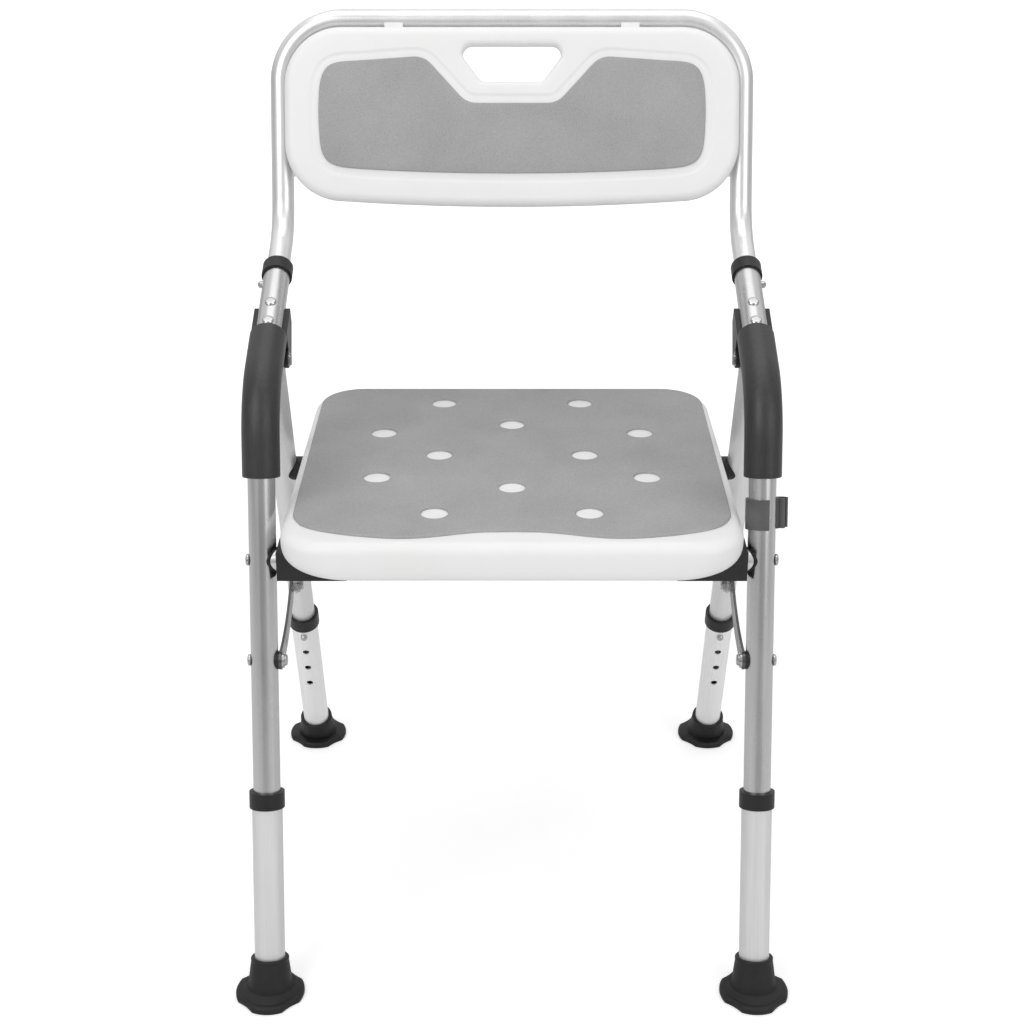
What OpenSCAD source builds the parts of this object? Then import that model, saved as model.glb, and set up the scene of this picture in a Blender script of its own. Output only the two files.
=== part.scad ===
// Folding shower chair with arm grips, plug-in back rest and telescopic legs.
// Units are millimetres. X runs across the chair, -Y is the front, +Z is up.
// The origin is on the floor, midway between the front and the rear feet.
// Every side part is drawn for the +X side and mirrored for the -X side.

/* [Side frames] */
// Distance between the left and right tubes, centre to centre
leg_spacing = 460; // [440:1:500]
// Backward lean of the front legs, in degrees from upright
leg_lean = 17; // [15:0.5:19]
// Rise of the arms towards the back, in degrees from level
arm_rise = 22; // [20:0.5:24]
// Height of the corner where the axes of front leg and arm would meet
corner_height = 543.8; // [530:0.2:570]
// Centreline radius of the bend between front leg and arm
arm_bend_radius = 80; // [70:1:90]
// Length of the arm from that corner to its open end
arm_length = 185; // [180:1:200]
// Outer diameter of the legs and arms
tube_d = 25.4; // [24:0.1:27]
// Wall of every frame tube
tube_wall = 1.5; // [1:0.1:2]
// Radial gap between telescoping tubes
slide_gap = 0.1; // [0.05:0.01:0.15]

/* [Rear frame] */
// Forward lean of the rear legs, in degrees from upright
rear_lean = 21.5; // [20:0.5:23]
// Distance from the arm's open end to the hinge pin, along the arm
pin_in = 103.6; // [99:0.2:108]
// Hinge pin, measured square down from the arm axis
pin_drop = 27.3; // [26.5:0.1:32]
// Diameter of the hinge pin
pin_d = 6.4; // [5:0.1:8]
// Length of rear leg left above the hinge pin
rear_top = 5.5; // [4.5:0.1:6]
// Outer diameter of the two cross tubes
cross_d = 22.2; // [20:0.1:24]
// Front cross tube, measured up the front leg from the floor
front_cross_along = 418.3; // [410:0.1:425]
// Rear cross tube, measured up the rear leg from the floor
rear_cross_along = 445; // [442:0.1:447]
// Thickness of the curved saddles between the legs and the cross tubes
saddle_t = 1.2; // [1:0.1:2]
// Diameter of those saddles
saddle_d = 26; // [24:0.5:28]

/* [Legs and feet] */
// Wall of the extension tubes
ext_wall = 1.5; // [1:0.1:2]
// Top of the front extension tubes, measured up the leg from the floor
front_ext_top = 197; // [190:1:205]
// Top of the rear extension tubes, measured up the leg from the floor
rear_ext_top = 220; // [210:1:225]
// Start of the extension tubes inside the feet, above the floor
ext_start = 9; // [8:0.5:12]
// Distance between the height holes
hole_pitch = 27; // [25:0.5:28]
// Number of height settings
hole_count = 4; // [3:1:4]
// Distance from the top of the extension tube to its first hole
hole_drop = 23; // [21:0.5:28]
// Length of leg tube below its button
leg_overlap = 25; // [20:1:30]
// Height of the collars on the extension tubes
collar_len = 15.5; // [14:0.5:17]
// Wall of the collars
collar_wall = 2.3; // [1.8:0.1:2.6]
// Lip of the collars over the tube end
collar_lip = 2; // [1:0.5:3]
// Diameter of the foot flange
foot_d = 65; // [60:1:72]
// Height of the foot flange
foot_flange = 7; // [6:0.5:9]
// Diameter of the foot's boot at its base
boot_base_d = 40; // [38:1:44]
// Diameter of the foot's boot at its rim
boot_rim_d = 35.5; // [34:0.5:38]
// Length of the boot along the leg
boot_len = 37; // [34:1:45]
// Depth of the four notches between the lobes of the flange
foot_notch = 3; // [2:0.5:4]

/* [Buttons and springs] */
// Diameter of the spring buttons
button_d = 7; // [6:0.5:8]
// Height that the buttons stand out, which is also their travel
button_out = 4.5; // [3:0.1:5]
// Running gap round pins, rivets and buttons
pin_gap = 0.05; // [0.03:0.01:0.09]
// Width of the spring strips inside the tubes
spring_w = 8; // [6:0.5:8]
// Thickness of the spring strips
spring_t = 0.8; // [0.6:0.1:1]
// Length of the spring strips
spring_len = 40; // [30:1:45]

/* [Grips and hinge brackets] */
// Outer diameter of the arm grips
grip_d = 35; // [33:0.5:37]
// Distance from the corner down the front leg to the start of the grip
grip_drop = 73.7; // [70:0.1:78]
// Distance from the arm's open end to the end of the grip, along the arm
grip_in = 99.5; // [97:0.5:104]
// Thickness of the bracket's ears and of its saddle below the arm
bracket_t = 4; // [3:0.2:4.2]
// Gap between the ears and the rear leg
ear_gap = 0.4; // [0.2:0.1:0.6]
// Length of the bracket along the arm
bracket_len = 38; // [37:1:42]
// Distance from the bracket's front end to its first screw
bracket_screw_first = 6.2; // [6:0.1:8]
// Distance between the bracket's two screws
bracket_screw_pitch = 27; // [24:0.5:28]
// Diameter of the screw shanks
screw_d = 5; // [4:0.2:6]
// Diameter of the screw heads
screw_head_d = 11; // [10:0.5:12]
// Height of the screw heads
screw_head_h = 3; // [2:0.1:3.5]
// Diameter of the bolts at the links and cross tubes
bolt_d = 6; // [5:0.2:7]

/* [Folding links] */
// Lower link pivot, measured up the front leg from the floor
link_along = 324; // [320:0.1:330]
// Knee between link and brace, measured back from the front foot
knee_y = 199; // [196:0.5:202]
// Knee between link and brace, height above the floor
knee_z = 336; // [333:0.5:339]
// Brace end on the rear leg, measured up that leg from the floor
brace_along = 399.8; // [396:0.1:404]
// Width of the links and braces
link_w = 18; // [15:0.5:20]
// Thickness of the links and braces
link_t = 2.5; // [2:0.1:3]
// Sag of the curved link below a straight line
link_sag = 8; // [5:0.5:10]
// Gap between faces that turn against each other
face_gap = 0.1; // [0.05:0.05:0.2]

/* [Seat] */
// Half width of the seat at its front
seat_front_half = 211.5; // [206:0.5:212]
// Half width of the seat at its rear
seat_rear_half = 206.5; // [200:0.5:208]
// Front edge of the seat, measured back from the front foot
seat_front_y = 70; // [65:1:75]
// Rear edge of the seat, measured back from the front foot
seat_rear_y = 468; // [460:1:475]
// Height of the seat shell's top face
seat_top = 439; // [437:0.5:442]
// Thickness of the seat shell
seat_t = 37.5; // [35:0.5:39]
// Radius of the seat's corners in plan
seat_corner = 46; // [40:1:50]
// Radius of the seat's upper edge
seat_edge = 9; // [6:0.5:12]
// Inward reach of the curve under the seat's sides
seat_under_side = 38; // [30:1:40]
// Inward reach of the curve under the seat's front and rear
seat_under_end = 9; // [8:1:14]
// Thickness of the grey pads
pad_t = 2.4; // [2:0.2:3.6]
// Diameter of the holes in the seat pad
pad_hole_d = 25.5; // [22:0.5:28]
// Half width of the seat pad
pad_half = 202; // [196:0.5:204]
// Outer end of the brackets on the front cross tube
seat_bracket_out = 215.6; // [212:0.1:215.7]
// Length of those brackets
seat_bracket_len = 64; // [50:1:80]
// Half depth of those brackets
seat_bracket_half = 17; // [15:0.5:18]
// Wall of those brackets below the cross tube
seat_bracket_wall = 2.5; // [2:0.1:4]
// Wall of those brackets above the cross tube
seat_bracket_roof = 3.4; // [3:0.1:4]
// Distance from the middle to the clips that rest on the rear cross tube
seat_saddle_in = 95; // [80:1:110]
// Length of those clips
seat_saddle_len = 50; // [40:1:60]

/* [Back rest] */
// Backward lean of the back rest, in degrees from upright
back_lean = 18.5; // [17:0.5:20]
// Corner between arm axis and back axis, measured along the arm from the front corner
back_corner_along = 248.9; // [240:0.5:260]
// Centreline radius of the lower bend
back_bend_radius = 60; // [50:1:65]
// Centreline radius of the two upper bends
back_top_radius = 61; // [55:1:70]
// Length from the lower corner to the top tube's axis
back_height = 204.6; // [200:0.5:220]
// Length of the plug inside the arm
plug_len = 40; // [34:1:42]
// Distance from the arm's end to the back button
back_button_in = 24.8; // [22:0.2:26]
// Half width of the back panel
panel_half = 225.5; // [215:0.5:228]
// Lowest point of the back panel, measured up the back from the lower corner
panel_low = 22; // [20:0.5:28]
// Upper edge of the back panel, measured up the back from the lower corner
panel_high = 196; // [190:0.5:197]
// Radius of the panel's corners
panel_corner = 57; // [50:1:60]
// Inset of the panel's rear layer, which sits inside the back tube
nest_inset = 7; // [6.9:0.1:9]
// Thickness of the back panel
panel_t = 20; // [18:0.5:24]
// Gap from the back tube's axis to the rear face of the panel
panel_rear = 3.5; // [2:0.5:5]
// Half width of the hand hole at its top
hand_top_half = 54; // [50:1:58]
// Half width of the hand hole at its bottom
hand_low_half = 31; // [28:1:36]
// Upper edge of the hand hole, measured up the back
hand_high = 178; // [176:0.5:180]
// Height of the hand hole
hand_h = 35.5; // [30:0.5:38]

/* [Hose clip] */
// Gap between the clip and the grip above it
clip_gap = 19.7; // [15:0.1:24]
// Height of the clip
clip_h = 28; // [24:1:32]
// Wall of the clip
clip_wall = 2.6; // [2.4:0.2:3.2]
// Outer diameter of the clip's hook
hook_d = 13.5; // [12:0.5:15]
// Turn of the hook towards the rear, in degrees from straight out
hook_turn = 25; // [15:1:35]

/* [Hidden] */
$fn = 64;
hull_fn = 32;
cut = 1;

// Tubes
half = leg_spacing / 2;
tube_r = tube_d / 2;
bore_r = tube_r - tube_wall;
ext_bore_r = tube_r + slide_gap;
ext_r = ext_bore_r + ext_wall;
back_r = bore_r - slide_gap;
back_bore_r = back_r - tube_wall;
cross_r = cross_d / 2;
inner_x = half - tube_r;
outer_x = half + tube_r;
// long enough to pass right through any tube
far = 2 * tube_d;

// Key points as [y, z], with y measured back from the front foot
function front_point(along) = [along * sin(leg_lean), along * cos(leg_lean)];
corner_y = corner_height * tan(leg_lean);
corner_along = corner_height / cos(leg_lean);
arm_bend = 90 - arm_rise - leg_lean;
arm_tangent = arm_bend_radius * tan(arm_bend / 2);
function arm_point(along, drop) = [
    corner_y + along * cos(arm_rise) + drop * sin(arm_rise),
    corner_height + along * sin(arm_rise) - drop * cos(arm_rise)];
pin_along = arm_length - pin_in;
grip_end = arm_length - grip_in;
grip_start = corner_along - grip_drop;
clip_along = grip_start - clip_gap - clip_h / 2;
fold_angle = leg_lean + rear_lean;
pin = arm_point(pin_along, pin_drop);
rear_foot_y = pin[0] + pin[1] * tan(rear_lean);
rear_pin_along = pin[1] / cos(rear_lean);
function rear_point(along) = [rear_foot_y - along * sin(rear_lean), along * cos(rear_lean)];
y_mid = rear_foot_y / 2;
front_cross = front_point(front_cross_along);
rear_cross = rear_point(rear_cross_along);
link_pivot = front_point(link_along);
knee = [knee_y, knee_z];
brace_end = rear_point(brace_along);
back_corner = arm_point(back_corner_along, 0);

// Stack of the links, from the leg inwards
pad_crown = 1.2;
link_out = inner_x - pad_crown - face_gap;
link_in = link_out - link_t;
knee_washer_t = 2.3;
brace_out = link_in - 2 * face_gap - knee_washer_t;
brace_in = brace_out - link_t;
eye_r = link_w / 2;
bolt_r = bolt_d / 2;
rivet_washer_r = 7.5;
rivet_head_r = 5.5;
rivet_head_h = 3;
knee_head_h = inner_x - link_out - 2 * face_gap;

// Frames of reference on the +X side
module leg_frame() {
    translate([half, -y_mid, 0])
        rotate([-leg_lean, 0, 0])
            children();
}

module rear_leg_frame() {
    translate([half, rear_foot_y - y_mid, 0])
        rotate([rear_lean, 0, 0])
            children();
}

// Local +Z runs back along the arm and local -Y points up from it
module arm_frame() {
    translate([half, corner_y - y_mid, corner_height])
        rotate([arm_rise - 90, 0, 0])
            children();
}

// Local +Z runs up the back rest and local -Y points forward from it
module back_frame() {
    translate([0, back_corner[0] - y_mid, back_corner[1]])
        rotate([-back_lean, 0, 0])
            children();
}

module at(point) {
    translate([0, point[0] - y_mid, point[1]])
        children();
}

module on_side(side) {
    if (side > 0)
        children();
    else
        mirror([1, 0, 0])
            children();
}

module both_sides() {
    children();
    mirror([1, 0, 0])
        children();
}

// Basic shapes
module x_rod(r, from, to) {
    translate([from, 0, 0])
        rotate([0, 90, 0])
            cylinder(r = r, h = to - from);
}

module z_rod(r, from, to) {
    translate([0, 0, from])
        cylinder(r = r, h = to - from);
}

module z_ring(r_out, r_in, from, to) {
    difference() {
        z_rod(r_out, from, to);
        z_rod(r_in, from - cut, to + cut);
    }
}

// A bend that starts along +Z and turns towards +Y. It is a hair thicker than
// the straight tube, whose ends reach a hair into it, so that the two fuse.
swell = 0.05;
weld = 0.05;

module bend(r, radius, angle) {
    translate([0, radius, 0])
        rotate([90, 0, -90])
            rotate_extrude(angle = angle)
                translate([radius, 0])
                    circle(r + swell);
}

// Pan head with a rounded rim, its flat side down at z = 0
module pan_head(r, h) {
    rim = h * 0.55;
    rotate_extrude()
        polygon([[0, 0], [r, 0], [r, rim], [r * 0.82, h * 0.9], [r * 0.5, h], [0, h]]);
}

// Side tubes: front leg and arm bent from one tube
module side_path(r, low, arm_end) {
    leg_frame()
        z_rod(r, low, corner_along - arm_tangent + weld);
    leg_frame()
        translate([0, 0, corner_along - arm_tangent])
            bend(r, arm_bend_radius, arm_bend);
    arm_frame()
        z_rod(r, arm_tangent - weld, arm_end);
}

front_button_along = front_ext_top - hole_drop;
rear_button_along = rear_ext_top - hole_drop;
front_low = front_button_along - leg_overlap;
rear_low = rear_button_along - leg_overlap;
button_r = button_d / 2;
button_hole_r = button_r + pin_gap;
screw_r = screw_d / 2;
screw_head_r = screw_head_d / 2;
spot_depth = 1;
bracket_gap = 1;
bracket_front = grip_end + bracket_gap;
bracket_screw_alongs = [
    bracket_front + bracket_screw_first,
    bracket_front + bracket_screw_first + bracket_screw_pitch];

module side_tube(side) {
    color("silver")
        on_side(side)
            difference() {
                side_path(tube_r, front_low, arm_length);
                side_path(bore_r, front_low - cut, arm_length + cut);
                // hole for the height button, facing back
                leg_frame()
                    translate([0, 0, front_button_along])
                        rotate([-90, 0, 0])
                            cylinder(r = button_hole_r, h = tube_r + cut);
                // hole for the back rest's button, facing out
                arm_frame()
                    translate([0, 0, arm_length - back_button_in])
                        x_rod(button_hole_r, 0, tube_r + cut);
                // holes for the cross screw and the link bolt
                leg_frame()
                    for (along = [front_cross_along, link_along])
                        translate([0, 0, along])
                            x_rod(bolt_r, -tube_d, tube_d);
                // holes and flat seats for the bracket screws
                arm_frame()
                    for (along = bracket_screw_alongs)
                        translate([0, 0, along]) {
                            rotate([90, 0, 0])
                                cylinder(r = screw_r, h = far, center = true);
                            translate([0, spot_depth - tube_r, 0])
                                rotate([90, 0, 0])
                                    cylinder(r = screw_head_r, h = 2 * spot_depth);
                        }
            }
}

module arm_grip(side) {
    color("#2d2d2f")
        on_side(side)
            difference() {
                side_path(grip_d / 2, grip_start, grip_end);
                side_path(tube_r, grip_start - cut, grip_end + cut);
            }
}

// Cross tubes with closed ends, coped to the saddles on the legs
cross_end_wall = 6;
cross_end = inner_x - saddle_t;

module cross_tube(point) {
    at(point)
        difference() {
            x_rod(cross_r, -half, half);
            x_rod(cross_r - tube_wall, cross_end_wall - cross_end, cross_end - cross_end_wall);
            x_rod(bolt_r, -half, half);
        }
}

module front_cope() {
    both_sides()
        leg_frame()
            z_rod(tube_r + saddle_t, front_cross_along - far, front_cross_along + far);
}

module rear_cope() {
    both_sides()
        rear_leg_frame()
            z_rod(tube_r + saddle_t, rear_cross_along - far, rear_cross_along + far);
}

module front_cross_tube() {
    color("silver")
        difference() {
            cross_tube(front_cross);
            front_cope();
        }
}

module rear_cross_tube() {
    color("silver")
        difference() {
            cross_tube(rear_cross);
            rear_cope();
        }
}

// One saddle on a leg whose axis is local Z, facing local -X
module saddle(disc_r, thickness) {
    difference() {
        intersection() {
            x_rod(disc_r, -tube_r - thickness, 0);
            z_rod(tube_r + thickness, -tube_d, tube_d);
        }
        z_rod(tube_r, -far, far);
        x_rod(bolt_r, -tube_d, tube_d);
    }
}

module front_cross_saddles() {
    color("#2d2d2f")
        both_sides()
            leg_frame()
                translate([0, 0, front_cross_along])
                    saddle(saddle_d / 2, saddle_t);
}

module rear_cross_saddles() {
    color("#2d2d2f")
        both_sides()
            rear_leg_frame()
                translate([0, 0, rear_cross_along])
                    saddle(saddle_d / 2, saddle_t);
}

// Screw from outside a leg into the end of a cross tube
module cross_screw() {
    x_rod(bolt_r, -tube_r - saddle_t - cross_end_wall, tube_r);
    translate([tube_r, 0, 0])
        rotate([0, 90, 0])
            pan_head(screw_head_r, screw_head_h);
}

module front_cross_screws() {
    color("gainsboro")
        both_sides()
            leg_frame()
                translate([0, 0, front_cross_along])
                    cross_screw();
}

module rear_cross_screws() {
    color("gainsboro")
        both_sides()
            rear_leg_frame()
                translate([0, 0, rear_cross_along])
                    cross_screw();
}

// Hinge brackets below the arms, drawn in the arm's frame
ear_in = tube_r + ear_gap;
ear_out = ear_in + bracket_t;
ear_boss_r = 8;
stop_gap = 0.3;
stop_web = 4;
stop_low = 12;
// Low enough that the rear tube's back edge clears it while the chair folds
stop_high = tube_r * tan(fold_angle / 2) + 2 * stop_gap;
stop_margin = 2;

module ear_outline() {
    back_end = bracket_front + bracket_len - pin_along;
    front_end = bracket_front - pin_along;
    circle(ear_boss_r);
    polygon([
        [0, ear_boss_r],
        [front_end, ear_boss_r],
        [front_end, pin_drop],
        [back_end - bracket_t * 3, pin_drop],
        [back_end, pin_drop - bracket_t * 3],
        [back_end, pin_drop - tube_r - bracket_t],
        [tube_r + stop_gap + stop_web, -stop_low - stop_margin],
        [ear_boss_r, -stop_low - stop_margin],
        [-ear_boss_r, 0]]);
}

module hinge_bracket(side) {
    color("#2d2d2f")
        on_side(side)
            arm_frame()
                difference() {
                    union() {
                        translate([0, pin_drop, pin_along])
                            for (x = [-ear_out, ear_in])
                                translate([x, 0, 0])
                                    rotate([180, -90, 0])
                                        linear_extrude(bracket_t)
                                            ear_outline();
                        translate([-ear_out, 0, bracket_front])
                            cube([2 * ear_out, tube_r + bracket_t, bracket_len]);
                        translate([-ear_out, pin_drop + stop_high, pin_along + tube_r + stop_gap])
                            cube([2 * ear_out, stop_low - stop_high, stop_web]);
                    }
                    z_rod(tube_r, 0, arm_length);
                    translate([0, pin_drop, pin_along])
                        x_rod(pin_d / 2, -far, far);
                    for (along = bracket_screw_alongs)
                        translate([0, 0, along])
                            rotate([-90, 0, 0])
                                cylinder(r = screw_r, h = far);
                }
}

module bracket_screws() {
    color("gainsboro")
        both_sides()
            arm_frame()
                for (along = bracket_screw_alongs)
                    translate([0, spot_depth - tube_r, along])
                        rotate([90, 0, 0]) {
                            pan_head(screw_head_r, screw_head_h);
                            translate([0, 0, -2 * tube_r - bracket_t + spot_depth])
                                cylinder(r = screw_r, h = 2 * tube_r + bracket_t - spot_depth);
                        }
}

washer_h = 1;

module hinge_pins() {
    color("gainsboro")
        both_sides()
            arm_frame()
                translate([0, pin_drop, pin_along]) {
                    x_rod(pin_d / 2, -ear_out, ear_out);
                    x_rod(ear_boss_r - washer_h, -ear_out - washer_h, -ear_out);
                    translate([-ear_out - washer_h, 0, 0])
                        rotate([0, -90, 0])
                            pan_head(rivet_head_r, washer_h * 2);
                    translate([ear_out, 0, 0])
                        rotate([0, 90, 0])
                            pan_head(rivet_head_r, rivet_head_h);
                }
}

// Pivots of the links on the front legs
link_pad_r = 8.5;
pivot_washer_h = 2;

module link_pivot_saddles() {
    color("#2d2d2f")
        both_sides()
            at(link_pivot)
                difference() {
                    x_rod(link_pad_r, inner_x - pad_crown, half);
                    translate([half, 0, 0])
                        rotate([-leg_lean, 0, 0])
                            z_rod(tube_r, -tube_d, tube_d);
                    x_rod(bolt_r, 0, half + tube_d);
                }
}

module link_pivot_spacers() {
    color("silver")
        both_sides()
            at(link_pivot)
                difference() {
                    x_rod(rivet_washer_r, link_in - face_gap - pivot_washer_h, link_in - face_gap);
                    x_rod(bolt_r, 0, half);
                }
}

module link_pivot_bolts() {
    color("gainsboro")
        both_sides()
            at(link_pivot) {
                x_rod(bolt_r, link_in - face_gap - pivot_washer_h, outer_x);
                translate([link_in - face_gap - pivot_washer_h, 0, 0])
                    rotate([0, -90, 0])
                        pan_head(rivet_head_r, rivet_head_h);
                translate([outer_x, 0, 0])
                    rotate([0, 90, 0])
                        pan_head(screw_head_r, screw_head_h);
            }
}

// Curved link between the front leg and the knee, drawn along local Y
module link_strip(length) {
    radius = (length * length / 4 + link_sag * link_sag) / (2 * link_sag);
    intersection() {
        translate([0, length / 2, radius - link_sag])
            difference() {
                x_rod(radius + eye_r, 0, link_t);
                x_rod(radius - eye_r, -cut, link_t + cut);
            }
        translate([-cut, 0, -link_sag - link_w])
            cube([link_t + 2 * cut, length, 2 * link_w + link_sag]);
    }
    x_rod(eye_r, 0, link_t);
    translate([0, length, 0])
        x_rod(eye_r, 0, link_t);
}

link_vector = knee - link_pivot;
link_len = norm(link_vector);
link_angle = atan2(link_vector[1], link_vector[0]);
brace_vector = brace_end - knee;
brace_len = norm(brace_vector);
brace_angle = atan2(brace_vector[1], brace_vector[0]);

module link(side) {
    color("gray")
        on_side(side)
            at(link_pivot)
                rotate([link_angle, 0, 0])
                    translate([link_in, 0, 0])
                        difference() {
                            link_strip(link_len);
                            for (y = [0, link_len])
                                translate([0, y, 0])
                                    x_rod(bolt_r + pin_gap, -cut, link_t + cut);
                        }
}

module brace(side) {
    color("silver")
        on_side(side)
            at(knee)
                rotate([brace_angle, 0, 0])
                    translate([brace_in, 0, 0])
                        difference() {
                            union() {
                                translate([0, 0, -eye_r])
                                    cube([link_t, brace_len, link_w]);
                                for (y = [0, brace_len])
                                    translate([0, y, 0])
                                        x_rod(eye_r, 0, link_t);
                            }
                            for (y = [0, brace_len])
                                translate([0, y, 0])
                                    x_rod(bolt_r, -cut, link_t + cut);
                        }
}

// Knee rivet, its washers and the blind rivet at the brace's far end
module brace_rivets(side) {
    color("gainsboro")
        on_side(side) {
            at(knee) {
                x_rod(bolt_r, brace_in - knee_washer_t, link_out + face_gap);
                difference() {
                    x_rod(rivet_washer_r, brace_out, link_in - face_gap);
                    x_rod(bolt_r, 0, half);
                }
                difference() {
                    x_rod(rivet_washer_r, brace_in - knee_washer_t, brace_in);
                    x_rod(bolt_r, 0, half);
                }
                translate([brace_in - knee_washer_t, 0, 0])
                    rotate([0, -90, 0])
                        pan_head(rivet_head_r, rivet_head_h);
                translate([link_out + face_gap, 0, 0])
                    rotate([0, 90, 0])
                        pan_head(rivet_head_r, knee_head_h);
            }
            at(brace_end) {
                x_rod(bolt_r, brace_in, brace_out);
                translate([brace_in, 0, 0])
                    rotate([0, -90, 0])
                        pan_head(rivet_head_r, rivet_head_h);
            }
        }
}

// Bosses on the rear legs that the braces end against
module brace_bosses() {
    boss_gap = 3 * face_gap;
    color("silver")
        both_sides()
            at(brace_end)
                difference() {
                    x_rod(rivet_washer_r, brace_out + boss_gap, half);
                    translate([half, 0, 0])
                        rotate([rear_lean, 0, 0])
                            z_rod(tube_r, -tube_d, tube_d);
                }
}

// Collar that ends an outer tube, with a lip over the tube inside it
module tube_collar(r_out, r_tube, r_inner_tube, from, to, lip) {
    z_ring(r_out, r_tube, from, to - lip);
    z_ring(r_out, r_inner_tube + slide_gap, to - lip, to);
}

arm_collar_len = 15;
arm_collar_wall = 2.2;

module arm_end_collars() {
    color("#2d2d2f")
        both_sides()
            arm_frame()
                tube_collar(tube_r + arm_collar_wall, tube_r, back_r,
                    arm_length + collar_lip - arm_collar_len, arm_length + collar_lip, collar_lip);
}

// Springs behind the buttons: a bent strip, its closed end up.
// Local +Y points to the button, which sits at z = 0.
module button_spring(bore, reach, length, width) {
    touch = sqrt(bore * bore - width * width / 4) - pin_gap;
    foot = 6;
    rotate([90, 0, 90])
        translate([0, 0, -width / 2])
            linear_extrude(width)
                polygon([
                    [reach, -foot], [reach, foot], [spring_t, length], [-spring_t, length],
                    [-touch, foot], [-touch, -foot], [spring_t - touch, -foot],
                    [spring_t - touch, foot], [0, length - 3 * spring_t],
                    [reach - spring_t, foot], [reach - spring_t, -foot]]);
}

leg_spring_reach = ext_bore_r + pin_gap - button_out - slide_gap * 3;
back_spring_reach = bore_r + pin_gap - button_out - slide_gap * 3;

module front_leg_springs() {
    color("gainsboro")
        both_sides()
            leg_frame()
                translate([0, 0, front_button_along])
                    button_spring(bore_r, leg_spring_reach, spring_len, spring_w);
}

module rear_leg_springs() {
    color("gainsboro")
        both_sides()
            rear_leg_frame()
                translate([0, 0, rear_button_along])
                    rotate([0, 0, 180])
                        button_spring(bore_r, leg_spring_reach, spring_len, spring_w);
}

module back_plug_springs() {
    color("gainsboro")
        both_sides()
            arm_frame()
                translate([0, 0, arm_length - back_button_in])
                    rotate([0, 0, -90])
                        button_spring(back_bore_r, back_spring_reach, spring_len, spring_w - 2);
}

// Rear legs
module rear_tube(side) {
    top = rear_pin_along + rear_top;
    color("silver")
        on_side(side)
            rear_leg_frame()
                difference() {
                    z_rod(tube_r, rear_low, top);
                    z_rod(bore_r, rear_low - cut, top + cut);
                    // mitred front corner, which clears the grip when folded
                    translate([0, 0, rear_pin_along])
                        rotate([fold_angle, 0, 0])
                            translate([-tube_d, -tube_d, rear_top])
                                cube([far, far, tube_d]);
                    translate([0, 0, rear_pin_along])
                        x_rod(pin_d / 2 + pin_gap, -tube_d, tube_d);
                    translate([0, 0, rear_cross_along])
                        x_rod(bolt_r, -tube_d, tube_d);
                    translate([0, 0, rear_button_along])
                        rotate([90, 0, 0])
                            cylinder(r = button_hole_r, h = tube_r + cut);
                }
}

// Extension tubes: facing is 1 where the buttons face local +Y, -1 for -Y
module extension(top, facing) {
    color("silver")
        difference() {
            z_rod(ext_r, ext_start, top);
            z_rod(ext_bore_r, ext_start - cut, top + cut);
            for (i = [0 : hole_count - 1])
                translate([0, 0, top - hole_drop - i * hole_pitch])
                    rotate([-90 * facing, 0, 0])
                        cylinder(r = button_hole_r, h = ext_r + cut);
        }
}

module leg_collar(top) {
    color("#2d2d2f")
        tube_collar(ext_r + collar_wall, ext_r, tube_r, top + collar_lip - collar_len,
            top + collar_lip, collar_lip);
}

module height_button(top, facing) {
    start = ext_bore_r + pin_gap;
    color("gainsboro")
        translate([0, 0, top - hole_drop])
            rotate([-90 * facing, 0, 0])
                translate([0, 0, start])
                    button(ext_r + button_out - start);
}

// Button with a rounded end, from z = 0 up
module button(length) {
    rotate_extrude()
        polygon([[0, 0], [button_r, 0], [button_r, length - button_r * 0.6],
            [button_r * 0.8, length - button_r * 0.25], [button_r * 0.45, length], [0, length]]);
}

module back_button(side) {
    start = bore_r + pin_gap;
    color("gainsboro")
        on_side(side)
            arm_frame()
                translate([start, 0, arm_length - back_button_in])
                    rotate([0, 90, 0])
                        button(tube_r + button_out - start);
}

// Foot: level flange with four lobes, and a boot in line with the leg
module foot(lean) {
    flange_r = foot_d / 2;
    flange_rim = 2;
    flange_rise = 1.5;
    notch_r = 14;
    color("#2d2d2f")
        difference() {
            union() {
                difference() {
                    rotate_extrude()
                        polygon([[0, 0], [flange_r - flange_rim, 0], [flange_r, flange_rim],
                            [flange_r, foot_flange - flange_rim], [flange_r - flange_rim, foot_flange],
                            [boot_base_d / 2, foot_flange + flange_rise], [0, foot_flange + flange_rise]]);
                    for (turn = [45 : 90 : 315])
                        rotate([0, 0, turn])
                            translate([flange_r + notch_r - foot_notch, 0, -cut])
                                cylinder(r = notch_r, h = foot_flange + 2 * cut);
                }
                rotate([lean, 0, 0])
                    cylinder(r1 = boot_base_d / 2, r2 = boot_rim_d / 2, h = boot_len);
            }
            rotate([lean, 0, 0])
                z_rod(ext_r, ext_start, boot_len + cut);
            translate([0, 0, -foot_d])
                cube(2 * foot_d, center = true);
        }
}

module front_leg(side) {
    on_side(side)
        leg_frame()
            children();
}

module rear_leg(side) {
    on_side(side)
        rear_leg_frame()
            children();
}

module front_foot(side) {
    on_side(side)
        translate([half, -y_mid, 0])
            foot(-leg_lean);
}

module rear_foot(side) {
    on_side(side)
        translate([half, rear_foot_y - y_mid, 0])
            foot(rear_lean);
}

// Seat shell: a slab whose upper edge is rounded and whose sides curve under
seat_bottom = seat_top - seat_t;
slice_h = 0.1;
edge_angles = [0 : 22.5 : 90];

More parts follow.
